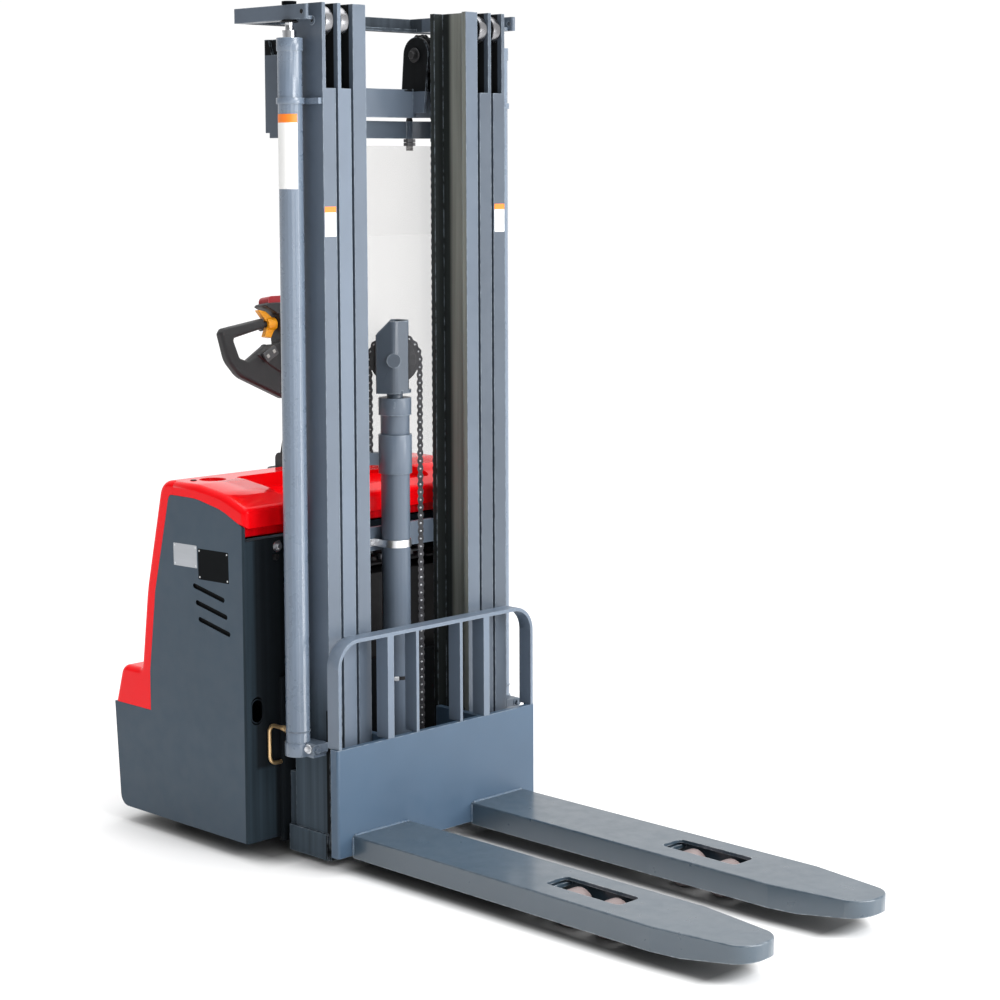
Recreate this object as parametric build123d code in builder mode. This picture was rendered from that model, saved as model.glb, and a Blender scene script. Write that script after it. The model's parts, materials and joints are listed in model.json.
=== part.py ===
"""Electric stacker: a pedestrian lift truck with a three-stage mast and forks over its support legs.

Frame: +X along the forks, +Y to the truck's left, +Z up. The origin is on the floor, below the middle
of the truck's length and width. All sizes are in millimetres.
"""
import os
from math import cos, radians, sin, tan

from build123d import *

os.makedirs("parts", exist_ok=True)

# Overall layout
fork_length = 1150
body_reach = 775
body_width = 800
mast_height = 2022
plate_x = (body_reach - fork_length) / 2
rear_x = plate_x - body_reach

# Clearances
run_gap = 0.3
bore_gap = 0.05
seam = 0.5

# Forks
fork_spread = 570
fork_width = 180
fork_top = 88
fork_height = 54
fork_skin = 8
fork_edge = 4
nose_length = 230
nose_end = 112
nose_round = 54
nose_bevel = 160
nose_lift = 18
window_start = 567
window_length = 218
window_width = 70
window_round = 14
fork_y = (fork_spread - fork_width) / 2
fork_bottom = fork_top - fork_height
window_x = plate_x + window_start + window_length / 2
nose_x = plate_x + fork_length - nose_length

# Support legs and load rollers
leg_width = 120
leg_wall = 10
leg_bottom = 22
leg_headroom = 4
load_roller_radius = 39
load_roller_width = 58
load_roller_spacing = 110
load_axle_radius = 12
leg_tail = 24
leg_top = fork_top - fork_skin - leg_headroom
leg_tip = window_x + load_roller_spacing / 2 + load_roller_radius + leg_tail

# Mast rails
mast_setback = 66
mast_width = 592
rail_depth = 125
rail_flange = 39.5
rail_gap = 7.3
rail_web = 10
flange_thick = 14
rail_foot = 15
stage_lift_off = 8
notch_drop = 194
tongue_thick = 12
tongue_reach = 23
tongue_depth = 68.5
mast_front = plate_x - mast_setback
mast_back = mast_front - rail_depth
stage_bottom = leg_top + stage_lift_off
stage_pitch = rail_flange + rail_gap
outer_face = mast_width / 2
middle_face = outer_face - stage_pitch
inner_face = middle_face - stage_pitch
clear_width = inner_face - rail_flange
tongue_front = mast_front - tongue_depth

# Guide rollers
guide_width = 24
guide_side_gap = 2
guide_axle_radius = 15
guide_rise = 66
head_roller_radius = 34
head_roller_drop = 40
head_axle_radius = 10
guide_radius = rail_depth / 2 - flange_thick - run_gap
guide_x = mast_front - rail_depth / 2
guide_z = stage_bottom + guide_rise
head_x = tongue_front + run_gap + head_roller_radius
head_z = mast_height - head_roller_drop
tongue_bottom = guide_z + guide_radius + stage_lift_off

# Carriage
plate_width = 660
plate_bottom = 40
plate_height = 258
plate_thick = 14
plate_return = 25
plate_round = 6
arm_thick = 16
arm_side_gap = 4
arm_overhang = 20
carriage_roller_low = 136
carriage_roller_high = 250
plate_top = plate_bottom + plate_height
arm_face = clear_width - arm_side_gap

# Load backrest
backrest_width = 650
backrest_height = 255
backrest_depth = 40
backrest_bar = 9
backrest_bend = 60
backrest_post = 20
post_y = 160
slat_y = 73

# Mast cross-members
beam_thick = 12
lane_gap = 2
lower_beam_height = 110
lower_beam_rise = 6
middle_beam_z = 712
middle_beam_height = 58
upper_beam_bottom = 1770
upper_beam_height = 70
anchor_beam_bottom = 1719
anchor_beam_height = 43
bow_bottom = 1983
bow_height = 34
bow_back = 129
bow_bar = 12
bow_flange = 22
bow_flange_thick = 8
bow_front_inset = 4
bow_eye_inset = 14
side_plate_reach = 81
side_plate_bottom = 1716
side_plate_top = 1945

# Mast chains and their sheaves
chain_width = 16
chain_height = 18
mast_sheave_radius = 45
mast_sheave_z = 1924
mast_pin_radius = 10
sheave_flange = 4
sheave_side_gap = 1
cheek_thick = 6
anchor_bolt_radius = 9
anchor_lug = 26
chain_gap = 5
mast_chain_y = 188
mast_chain_front = mast_back - chain_gap - chain_height / 2
mast_sheave_x = mast_chain_front - mast_sheave_radius
mast_chain_rear = mast_sheave_x - mast_sheave_radius
lug_z = stage_bottom + 16
lug_height = 30
middle_lane = mast_back - chain_gap - chain_height - lane_gap

# Side lift cylinders
cylinder_radius = 28.5
cylinder_setback = 68
cylinder_side_gap = 11
cylinder_bottom = 268
cylinder_top = 1912
gland_radius = 30.5
gland_height = 30
base_ring_radius = 31.5
base_ring_height = 32
clamp_z = 1799
clamp_height = 14
clamp_bar = 10
rod_radius = 16
rod_start = 330
rod_neck_radius = 9.5
rod_shoulder = 17
washer_height = 6
cap_radius = 17
cap_height = 8
cylinder_x = mast_front - cylinder_setback
cylinder_y = outer_face + cylinder_side_gap + cylinder_radius

# Free-lift cylinder in the middle of the mast
tube_radius = 35.2
tube_wall = 3
tube_back_gap = 3
collar_radius = 41
collar_bottom = 905
collar_top = 1000
ram_radius = 28
ram_sleeve = 35.6
ram_start = 330
nut_radius = 40
nut_bottom = 1048
nut_top = 1090
yoke_bottom = 1102
yoke_top = 1278
yoke_plate = 8
yoke_left = 40
yoke_right = 4
yoke_lean = 20
yoke_depth = 34
yoke_bend = 14
yoke_shoulder = 10
yoke_cut = 6
lift_sheave_z = 1183
lift_sheave_radius = 61
lift_sheave_flange = 60
lift_pin_radius = 12
pin_boss_radius = 17
seat_half_width = 26
tube_x = mast_back + tube_back_gap + tube_radius
tube_bottom = stage_bottom + lower_beam_rise + lower_beam_height

# Body
panel_thick = 5
panel_bottom = 39
panel_front = 248
panel_rim = 34
rear_rim = 40
panel_corner = 30
front_return = 138
skirt_top = 304
skirt_slope = 20
skirt_thick = 6
hood_wall = 5
hood_front = 242
hood_front_bottom = 770
hood_lip_bottom = 801
hood_lip = 12
hood_front_top = 846
hood_knee_top = 876
deck_top = 889
hood_rear_mid_z = 609
hood_step_top = 403
hood_edge = 15
cup_radius = 33
cup_depth = 60
tray_depth = 34
tray_wall = 4
tray_round = 20
cup_inset = 89
tray_inset = 150
tray_front_inset = 46
tray_back_inset = 48
cup_back_inset = 43
deck_length = 139
lid_deck_length = 88
knee_shift = 6
rear_top_inset = 206
rear_mid_inset = 138
step_inset = 111
step_back_inset = 30
panel_y = body_width / 2
frame_y = panel_y - panel_thick
hood_rear_top = body_reach - rear_top_inset
hood_rear_mid = body_reach - rear_mid_inset
hood_step_x = body_reach - step_inset
hood_step_back = body_reach - step_back_inset
hood_deck = hood_rear_top - deck_length
hood_knee = (hood_front + hood_deck) / 2 - knee_shift
lid_seam = hood_deck + lid_deck_length
cup_x = lid_seam - cup_back_inset
cup_y = panel_y - cup_inset
tray_back = lid_seam - tray_back_inset
tray_front = hood_front + tray_front_inset
tray_half = panel_y - tray_inset
bulkhead = hood_deck + 1

# Chassis
frame_plate = 12
front_plate_height = 400
front_plate_lap = 4
front_plate_bottom = 30
floor_bottom = 40
bulkhead_thick = 6
bulkhead_top = 740
drive_plate_bottom = 264
drive_plate_thick = 16
guard_thick = 4
guard_bottom = 905
guard_top = 1700
guard_half = 285
guard_lug = 20
front_plate_half = outer_face + front_plate_lap
front_plate_x = middle_lane - beam_thick - lane_gap * 3
guard_x = middle_lane - beam_thick - lane_gap * 2

# Drive unit, tiller and casters
steer_inset = 195
tiller_step = 12
steer_x = rear_x + steer_inset
drive_radius = 115
drive_width = 75
drive_axle_radius = 15
fork_cheek = 12
steer_boss_radius = 90
steer_disc_radius = 118
steer_disc_thick = 28
motor_radius = 50
motor_top = 500
column_radius = 32
column_top = 872
niche_gap = 20
tiller_x = steer_x + tiller_step
tiller_z = 905
tiller_pin_radius = 8
ear_thick = 8
arm_width = 26
arm_depth = 26
arm_lean = 12
arm_bow = 13
head_base_z = 1062
head_tilt = 9
head_thick = 28
caster_inset = 100
caster_x = steer_x
caster_y = body_width / 2 - caster_inset
caster_radius = 50
caster_width = 36
caster_trail = 34
caster_plate_z = 116
caster_stem_radius = 14
caster_axle_radius = 7


def span(a, b):
    """The middle and the length between two coordinates given in either order."""
    return (a + b) / 2, abs(b - a)


def block(xs, ys, zs, mode=Mode.ADD):
    """A box between two corners."""
    (x, dx), (y, dy), (z, dz) = span(*xs), span(*ys), span(*zs)
    with Locations((x, y, z)):
        Box(dx, dy, dz, mode=mode)


def rod_x(y, z, radius, xs, mode=Mode.ADD):
    """A cylinder along X."""
    x, length = span(*xs)
    with Locations(Location((x, y, z), (0, 90, 0))):
        Cylinder(radius, length, mode=mode)


def rod_y(x, z, radius, ys, mode=Mode.ADD):
    """A cylinder along Y."""
    y, length = span(*ys)
    with Locations(Location((x, y, z), (90, 0, 0))):
        Cylinder(radius, length, mode=mode)


def rod_z(x, y, radius, zs, mode=Mode.ADD):
    """A cylinder along Z."""
    z, length = span(*zs)
    with Locations((x, y, z)):
        Cylinder(radius, length, mode=mode)


def ring_y(x, z, outer, inner, ys):
    """A disc on a Y axis with a bore through it."""
    rod_y(x, z, outer, ys)
    rod_y(x, z, inner, ys, mode=Mode.SUBTRACT)


def save(part, label):
    """Label a finished piece and write it."""
    part.label = label
    export_step(part, f"parts/{label}.step")


def mirrored(part):
    """The same piece on the truck's other side."""
    with BuildPart() as twin:
        mirror(part, about=Plane.XZ)
    return twin.part


def save_pair(right_part, name):
    """Write a right-hand piece and its left-hand twin."""
    save(right_part, f"{name}_right")
    save(mirrored(right_part), f"{name}_left")


def strip(points, thickness, zs, radius=None):
    """A bar of one thickness along a path in plan, with rounded ends."""
    with BuildPart() as bar:
        with BuildSketch(Plane.XY.offset(zs[0])):
            with BuildLine():
                if radius:
                    FilletPolyline(*points, radius=radius)
                else:
                    Polyline(*points)
                offset(amount=thickness / 2, side=Side.BOTH, kind=Kind.INTERSECTION)
            make_face()
        extrude(amount=zs[1] - zs[0])
    return bar.part


def both_ends(points):
    """A path that goes on to the truck's other side as its own mirror image."""
    return points + [(x, -y) for x, y in reversed(points)]


# Forks: pressed channels with a welded nose and a window over the load rollers
def fork_outline():
    """The outline of a fork seen from above, drawn about its own centre line."""
    half = fork_width / 2
    tip = plate_x + fork_length
    with BuildSketch() as outline:
        with BuildLine():
            Polyline(
                (plate_x, -half),
                (nose_x, -half),
                (tip, -nose_end / 2),
                (tip, nose_end / 2),
                (nose_x, half),
                (plate_x, half),
                close=True,
            )
        make_face()
        fillet(vertices().group_by(Axis.X)[-1], nose_round)
    return outline.sketch


with BuildPart() as fork_right:
    with BuildSketch(Plane((0, -fork_y, fork_bottom))):
        add(fork_outline())
    extrude(amount=fork_height)
    top_edges = faces().sort_by(Axis.Z)[-1].edges().filter_by(lambda edge: edge.center().X > plate_x + 1)
    fillet(top_edges, fork_edge)
    block(
        (plate_x - 1, nose_x),
        (-fork_y - fork_width / 2 + fork_skin, -fork_y + fork_width / 2 - fork_skin),
        (fork_bottom - 1, fork_top - fork_skin),
        Mode.SUBTRACT,
    )
    with BuildSketch(Plane((window_x, -fork_y, fork_bottom))):
        RectangleRounded(window_length, window_width, window_round)
    extrude(amount=fork_height + 1, mode=Mode.SUBTRACT)
    with BuildSketch(Plane.XZ):
        with BuildLine():
            Polyline(
                (plate_x + fork_length - nose_bevel, fork_bottom - 1),
                (plate_x + fork_length - nose_bevel, fork_bottom),
                (plate_x + fork_length + 1, fork_bottom + nose_lift),
                (plate_x + fork_length + 1, fork_bottom - 1),
                close=True,
            )
        make_face()
    extrude(amount=fork_spread, both=True, mode=Mode.SUBTRACT)
save_pair(fork_right.part, "fork")

# Support legs: inverted channels that the forks come down over, with the load roller axles
leg_root = front_plate_x
load_roller_xs = [window_x - load_roller_spacing / 2, window_x + load_roller_spacing / 2]
load_window = load_roller_spacing + 2 * load_roller_radius + 2 * leg_wall
with BuildPart() as support_leg_right:
    block((leg_root, leg_tip), (-fork_y - leg_width / 2, -fork_y + leg_width / 2), (leg_bottom, leg_top))
    block(
        (leg_root - 1, leg_tip - leg_wall),
        (-fork_y - leg_width / 2 + leg_wall, -fork_y + leg_width / 2 - leg_wall),
        (leg_bottom - 1, leg_top - leg_wall),
        Mode.SUBTRACT,
    )
    block(
        (window_x - load_window / 2, window_x + load_window / 2),
        (-fork_y - leg_width / 2 + leg_wall, -fork_y + leg_width / 2 - leg_wall),
        (leg_bottom, leg_top + 1),
        Mode.SUBTRACT,
    )
    for x in load_roller_xs:
        rod_y(x, load_roller_radius, load_axle_radius, (-fork_y - leg_width / 2, -fork_y + leg_width / 2))
save_pair(support_leg_right.part, "support_leg")

for side, side_name in ((-1, "right"), (1, "left")):
    for x, end_name in zip(load_roller_xs, ("rear", "front")):
        with BuildPart() as load_roller:
            mid = side * fork_y
            ring_y(
                x,
                load_roller_radius,
                load_roller_radius,
                load_axle_radius + bore_gap,
                (mid - load_roller_width / 2, mid + load_roller_width / 2),
            )
            fillet(edges().filter_by(GeomType.CIRCLE).group_by(SortBy.RADIUS)[-1], fork_edge)
        save(load_roller.part, f"load_roller_{side_name}_{end_name}")


# Mast rails: channels that open inward, each with a tongue that reaches into the rail outside it
def mast_rail(side, face, bottom):
    """A channel with its web on the outside, from its outer face."""
    web = (side * face, side * (face - rail_web))
    flange = (side * face, side * (face - rail_flange))
    block((mast_back, mast_front), web, (bottom, mast_height))
    block((mast_front - flange_thick, mast_front), flange, (bottom, mast_height))
    block((mast_back, mast_back + flange_thick), flange, (bottom, mast_height))


def head_notch(side, face):
    """Cut the front flange away at the top and leave the axle of the head roller on the web."""
    block(
        (mast_front - flange_thick, mast_front + 1),
        (side * (face - rail_web), side * (face - rail_flange - 1)),
        (mast_height - notch_drop, mast_height + 1),
        Mode.SUBTRACT,
    )
    axle_end = face - rail_web - guide_side_gap - guide_width
    rod_y(head_x, head_z, head_axle_radius, (side * face, side * axle_end))


def running_tongue(side, face):
    """The tongue that the next stage's head roller bears on, and the axle of the foot roller."""
    block(
        (tongue_front - tongue_thick, tongue_front),
        (side * face, side * (face + rail_gap + tongue_reach)),
        (tongue_bottom, mast_height),
    )
    axle_end = face + rail_gap + guide_side_gap + guide_width
    rod_y(guide_x, guide_z, guide_axle_radius, (side * face, side * axle_end))


foot_proud = 5
foot_height = 63
guard_levels = (guard_bottom + guard_lug, (guard_bottom + guard_top) / 2, guard_top - guard_lug)
for side, side_name in ((-1, "right"), (1, "left")):
    with BuildPart() as outer_rail:
        mast_rail(side, outer_face, rail_foot)
        head_notch(side, outer_face)
        block(
            (mast_back - 20, mast_front - flange_thick / 2),
            (side * (outer_face + foot_proud), side * (outer_face - rail_web)),
            (rail_foot, rail_foot + foot_height),
        )
        block(
            (front_plate_x, mast_back),
            (side * (outer_face - rail_flange / 2), side * (outer_face - rail_flange)),
            (front_plate_bottom * 2, front_plate_height / 2),
        )
        for z in guard_levels:
            block(
                (guard_x, mast_back),
                (side * guard_half, side * (guard_half - guard_lug)),
                (z - guard_lug / 2, z + guard_lug / 2),
            )
    save(outer_rail.part, f"outer_rail_{side_name}")

    with BuildPart() as middle_rail:
        mast_rail(side, middle_face, stage_bottom)
        head_notch(side, middle_face)
        running_tongue(side, middle_face)
    save(middle_rail.part, f"middle_rail_{side_name}")

    with BuildPart() as inner_rail:
        mast_rail(side, inner_face, stage_bottom)
        running_tongue(side, inner_face)
    save(inner_rail.part, f"inner_rail_{side_name}")


# Guide rollers, a right and a left one on each shared axis
def roller_pair(x, z, radius, bore, near_y):
    """Two coaxial rollers, one on each side, from the side of each that is nearer the middle."""
    for side in (-1, 1):
        ring_y(x, z, radius, bore, (side * near_y, side * (near_y + guide_width)))
    fillet(edges().filter_by(GeomType.CIRCLE).group_by(SortBy.RADIUS)[-1], 2)


for label, face in (("outer_top_rollers", outer_face), ("middle_top_rollers", middle_face)):
    with BuildPart() as head_rollers:
        near_y = face - rail_web - guide_side_gap - guide_width
        roller_pair(head_x, head_z, head_roller_radius, head_axle_radius + bore_gap, near_y)
    save(head_rollers.part, label)

for label, face in (("middle_bottom_rollers", middle_face), ("inner_bottom_rollers", inner_face)):
    with BuildPart() as foot_rollers:
        near_y = face + rail_gap + guide_side_gap
        roller_pair(guide_x, guide_z, guide_radius, guide_axle_radius + bore_gap, near_y)
    save(foot_rollers.part, label)

carriage_roller_y = inner_face - rail_web - guide_side_gap - guide_width
for label, z in (
    ("carriage_lower_rollers", carriage_roller_low),
    ("carriage_upper_rollers", carriage_roller_high),
):
    with BuildPart() as carriage_rollers:
        roller_pair(guide_x, z, guide_radius, guide_axle_radius + bore_gap, carriage_roller_y)
    save(carriage_rollers.part, label)

# Carriage: the front plate, cut away over the legs, and the arms that carry its rollers
chain_offset = lift_sheave_radius * sin(radians(45))
lift_front_x = tube_x + chain_offset
lift_rear_x = tube_x - chain_offset
lug_half = chain_width * 0.8
leg_slot = leg_width / 2 + leg_headroom * 2
carriage_back = guide_x - guide_axle_radius - arm_overhang
with BuildPart() as carriage_plate:
    block(
        (plate_x - plate_thick, plate_x), (-plate_width / 2, plate_width / 2), (plate_bottom, plate_top)
    )
    for side in (-1, 1):
        block(
            (plate_x - plate_return, plate_x),
            (side * (plate_width / 2 - plate_thick), side * plate_width / 2),
            (plate_bottom, plate_top),
        )
    corners = edges().filter_by(Axis.Z).filter_by(
        lambda edge: edge.center().X > plate_x - 1 and abs(edge.center().Y) > plate_width / 2 - 1
    )
    fillet(corners, plate_round)
    for side in (-1, 1):
        block(
            (plate_x - plate_thick - 1, plate_x + 1),
            (side * fork_y - leg_slot, side * fork_y + leg_slot),
            (plate_bottom - 1, leg_top + leg_headroom),
            Mode.SUBTRACT,
        )
        block(
            (carriage_back, plate_x - plate_thick),
            (side * (arm_face - arm_thick), side * arm_face),
            (stage_bottom + lane_gap, plate_top),
        )
        for z in (carriage_roller_low, carriage_roller_high):
            rod_y(
                guide_x,
                z,
                guide_axle_radius,
                (side * arm_face, side * (carriage_roller_y + guide_width)),
            )
    block(
        (lift_front_x - lug_half, plate_x - plate_thick),
        (chain_offset - lug_half, chain_offset + lug_half),
        (stage_bottom + lane_gap, lug_z + lug_height),
    )
save(carriage_plate.part, "carriage_plate")

# Load backrest: a bent flat bar with four uprights, standing on the plate
with BuildPart() as load_backrest:
    half = backrest_width / 2 - backrest_bar / 2
    top = plate_top + backrest_height - backrest_bar / 2
    with BuildSketch(Plane.YZ.offset(plate_x - backrest_depth)):
        with BuildLine():
            FilletPolyline(
                (-half, plate_top), (-half, top), (half, top), (half, plate_top), radius=backrest_bend
            )
            offset(amount=backrest_bar / 2, side=Side.BOTH, kind=Kind.INTERSECTION)
        make_face()
    extrude(amount=backrest_depth)
    for y, width in ((post_y, backrest_post), (slat_y, backrest_bar)):
        for side in (-1, 1):
            block(
                (plate_x - backrest_depth, plate_x),
                (side * y - width / 2, side * y + width / 2),
                (plate_top, top),
            )
    block(
        (plate_x - backrest_depth - 1, plate_x + 1),
        (-plate_width, plate_width),
        (plate_top - backrest_depth, plate_top),
        Mode.SUBTRACT,
    )
save(load_backrest.part, "load_backrest")

# Outer mast head: set-back side plates and the beam that holds the chain anchors
anchor_beam_x = mast_chain_rear - lane_gap
side_plate_x = mast_back - side_plate_reach
anchor_path = both_ends(
    [
        (side_plate_x + beam_thick, outer_face - beam_thick / 2),
        (side_plate_x + beam_thick, mast_chain_y + anchor_lug * 1.5),
        (anchor_beam_x, mast_chain_y - anchor_lug / 2),
    ]
)
anchor_beam_top = anchor_beam_bottom + anchor_beam_height
notch_height = 36
notch_rim = 14
notch_lean = 12
plate_step = (14, 12)
with BuildPart() as outer_cross_beam:
    add(strip(anchor_path, beam_thick, (anchor_beam_bottom, anchor_beam_top)))
    for side in (-1, 1):
        block(
            (side_plate_x, mast_back),
            (side * (outer_face - rail_web), side * outer_face),
            (side_plate_bottom, side_plate_top),
        )
        with BuildSketch(Plane.XZ.offset(-side * outer_face)):
            with BuildLine():
                Polyline(
                    (side_plate_x + notch_rim, side_plate_top + 1),
                    (side_plate_x + notch_rim + notch_lean, side_plate_top - notch_height),
                    (mast_back - beam_thick, side_plate_top - notch_height),
                    (mast_back - beam_thick, side_plate_top + 1),
                    close=True,
                )
            make_face()
        extrude(amount=rail_web / 2, both=True, mode=Mode.SUBTRACT)
        block(
            (side_plate_x - 1, side_plate_x + plate_step[0]),
            (side * (outer_face - rail_web - 1), side * (outer_face + 1)),
            (side_plate_bottom - 1, side_plate_bottom + plate_step[1]),
            Mode.SUBTRACT,
        )
        block(
            (mast_chain_rear - anchor_lug / 2, mast_chain_rear + anchor_lug / 2),
            (side * (mast_chain_y - anchor_lug / 2), side * (mast_chain_y + anchor_lug / 2)),
            (anchor_beam_bottom, anchor_beam_top),
        )
save(outer_cross_beam.part, "outer_cross_beam")

bolt_drop = 30
nut_height = 8
with BuildPart() as chain_anchor_bolts:
    for side in (-1, 1):
        rod_z(
            mast_chain_rear,
            side * mast_chain_y,
            anchor_bolt_radius,
            (anchor_beam_bottom - bolt_drop, anchor_beam_bottom),
        )
        for level in (1, 2):
            nut_base = anchor_beam_bottom - level * (nut_height + 1)
            with BuildSketch(Plane((mast_chain_rear, side * mast_chain_y, nut_base))):
                RegularPolygon(anchor_bolt_radius * 1.7, 6)
            extrude(amount=nut_height)
save(chain_anchor_bolts.part, "chain_anchor_bolts")

# Middle mast: the bow over the side cylinders, the sheave beam with its brackets, and the lower beam
bow_x = mast_back - bow_back
bow_top = bow_bottom + bow_height
sheave_half = chain_width / 2 + sheave_flange
cheek_near = mast_chain_y - sheave_half - sheave_side_gap - cheek_thick
cheek_far = mast_chain_y + sheave_half + sheave_side_gap
upper_beam_x = mast_sheave_x - mast_sheave_radius / 2 + beam_thick / 2
upper_beam_top = upper_beam_bottom + upper_beam_height
rail_lug_y = middle_face - rail_flange / 2
upper_path = both_ends(
    [
        (mast_back - beam_thick / 2, rail_lug_y),
        (middle_lane, rail_lug_y),
        (upper_beam_x, mast_chain_y - beam_thick / 2),
    ]
)
bow_front = mast_front - bow_front_inset
bow_path = both_ends([(bow_front - bow_bar / 2, cylinder_y), (bow_x, cylinder_y)])
flange_y = cylinder_y - (bow_bar + bow_flange) / 2
flange_x = bow_x + (bow_bar + bow_flange) / 2
flange_path = both_ends([(bow_front - bow_flange, flange_y), (flange_x, flange_y)])
bow_hole_radius = 6
with BuildPart() as middle_cross_beams:
    add(strip(bow_path, bow_bar, (bow_bottom, bow_top)))
    add(strip(flange_path, bow_flange + 1, (bow_bottom, bow_bottom + bow_flange_thick)))
    for side in (-1, 1):
        block(
            (bow_x, mast_back),
            (side * (middle_face - rail_flange + lane_gap), side * (middle_face - lane_gap)),
            (bow_bottom, bow_top),
        )
        rod_y(
            bow_front - bow_eye_inset,
            (bow_bottom + bow_top) / 2,
            bow_hole_radius,
            (side * (cylinder_y - bow_bar), side * (cylinder_y + bow_bar)),
            Mode.SUBTRACT,
        )
    add(strip(upper_path, beam_thick, (upper_beam_bottom, upper_beam_top)))
    cheek_foot = mast_sheave_radius + beam_thick
    for side in (-1, 1):
        for near in (cheek_near, cheek_far):
            with BuildSketch(Plane.XZ.offset(-side * (near + cheek_thick / 2))):
                with Locations((mast_sheave_x, mast_sheave_z)):
                    Circle(mast_sheave_radius)
                with BuildLine():
                    Polyline(
                        (mast_sheave_x - mast_sheave_radius, mast_sheave_z),
                        (mast_sheave_x - cheek_foot, upper_beam_bottom + beam_thick),
                        (mast_sheave_x + cheek_foot / 2, upper_beam_bottom + beam_thick),
                        (mast_sheave_x + mast_sheave_radius, mast_sheave_z),
                        close=True,
                    )
                make_face()
            extrude(amount=cheek_thick / 2, both=True)
        rod_y(
            mast_sheave_x,
            mast_sheave_z,
            mast_pin_radius,
            (side * cheek_near, side * (cheek_far + cheek_thick)),
        )
    lower_zs = (stage_bottom + lower_beam_rise, stage_bottom + lower_beam_rise + lower_beam_height)
    block(
        (middle_lane - beam_thick, middle_lane),
        (lane_gap - middle_face, middle_face - lane_gap),
        lower_zs,
    )
    for side in (-1, 1):
        block(
            (middle_lane, mast_back),
            (side * (middle_face - rail_flange + lane_gap), side * (middle_face - lane_gap)),
            lower_zs,
        )
save(middle_cross_beams.part, "middle_cross_beams")

with BuildPart() as mast_sheaves:
    for side in (-1, 1):
        for ys, radius in (
            ((-sheave_half, sheave_half), mast_sheave_radius - chain_height / 2 - run_gap),
            ((-sheave_half, -chain_width / 2 - run_gap), mast_sheave_radius),
            ((chain_width / 2 + run_gap, sheave_half), mast_sheave_radius),
        ):
            rod_y(
                mast_sheave_x,
                mast_sheave_z,
                radius,
                (side * mast_chain_y + ys[0], side * mast_chain_y + ys[1]),
            )
        rod_y(
            mast_sheave_x,
            mast_sheave_z,
            mast_pin_radius + bore_gap,
            (side * mast_chain_y - sheave_half, side * mast_chain_y + sheave_half),
            Mode.SUBTRACT,
        )
save(mast_sheaves.part, "mast_sheaves")

# Mast chains: from the anchors on the outer mast, over the sheaves, down to the inner mast
with BuildPart() as mast_chains_front:
    for side in (-1, 1):
        block(
            (mast_chain_front - chain_height / 2, mast_chain_front + chain_height / 2),
            (side * (mast_chain_y - chain_width / 2), side * (mast_chain_y + chain_width / 2)),
            (lug_z + lug_height, mast_sheave_z),
        )
save(mast_chains_front.part, "mast_chains_front")

with BuildPart() as mast_chains_rear:
    for side in (-1, 1):
        with BuildSketch(Plane.XZ.offset(-side * mast_chain_y)):
            with Locations((mast_sheave_x, mast_sheave_z)):
                Circle(mast_sheave_radius + chain_height / 2)
                Circle(mast_sheave_radius - chain_height / 2, mode=Mode.SUBTRACT)
            with Locations((mast_sheave_x, mast_sheave_z - mast_sheave_radius)):
                Rectangle(4 * mast_sheave_radius, 2 * mast_sheave_radius, mode=Mode.SUBTRACT)
        extrude(amount=chain_width / 2, both=True)
        block(
            (mast_chain_rear - chain_height / 2, mast_chain_rear + chain_height / 2),
            (side * (mast_chain_y - chain_width / 2), side * (mast_chain_y + chain_width / 2)),
            (anchor_beam_top, mast_sheave_z),
        )
save(mast_chains_rear.part, "mast_chains_rear")

# Inner mast: its lower beam with the cylinder seat, its middle beam, and the lugs of the mast chains
inner_beam_half = clear_width + lane_gap
inner_beam_back = mast_back - beam_thick
with BuildPart() as inner_cross_beams:
    block((inner_beam_back, mast_back), (-inner_beam_half, inner_beam_half), (lower_zs[0], lower_zs[1]))
    block(
        (mast_back, tube_x + tube_radius),
        (-seat_half_width, seat_half_width),
        (tube_bottom - beam_thick, tube_bottom),
    )
    block(
        (inner_beam_back, mast_back),
        (-inner_beam_half, inner_beam_half),
        (middle_beam_z, middle_beam_z + middle_beam_height),
    )
    for side in (-1, 1):
        block(
            (mast_chain_front - chain_height / 2, mast_back),
            (side * (mast_chain_y - chain_width / 2), side * (mast_chain_y + chain_width / 2)),
            (lug_z, lug_z + lug_height),
        )
save(inner_cross_beams.part, "inner_cross_beams")

# Free-lift cylinder, its ram, and the yoke that holds the lift sheave across the diagonal
anchor_arm = 10
anchor_arm_z = 940
with BuildPart() as free_lift_cylinder:
    rod_z(tube_x, 0, tube_radius, (tube_bottom, collar_top))
    rod_z(tube_x, 0, collar_radius, (collar_bottom, collar_top))
    rod_z(tube_x, 0, ram_radius + bore_gap, (tube_bottom + beam_thick, collar_top + 1), Mode.SUBTRACT)
    with Locations(Location((tube_x, 0, anchor_arm_z), (0, 0, 45))):
        with Locations((-(ram_radius + tube_wall + lift_sheave_radius + anchor_arm) / 2, 0, 0)):
            Box(
                lift_sheave_radius + anchor_arm - ram_radius - tube_wall,
                chain_width + anchor_arm,
                lug_height,
            )
save(free_lift_cylinder.part, "free_lift_cylinder")

with BuildPart() as lift_ram:
    rod_z(tube_x, 0, ram_radius, (ram_start, nut_bottom))
    rod_z(tube_x, 0, ram_sleeve, (collar_top + run_gap, nut_bottom))
    rod_z(tube_x, 0, nut_radius, (nut_bottom, nut_top))
    rod_z(tube_x, 0, ram_radius * 0.7, (nut_top, yoke_bottom))
save(lift_ram.part, "lift_ram")

yoke_plane = Plane(
    (tube_x, 0, lift_sheave_z), x_dir=(cos(radians(45)), sin(radians(45)), 0), z_dir=(1, -1, 0)
)
lift_sheave_half = chain_width / 2 + sheave_flange
cheek_clear = lift_sheave_half + sheave_side_gap
cheek_top = yoke_top - lift_sheave_z


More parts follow.
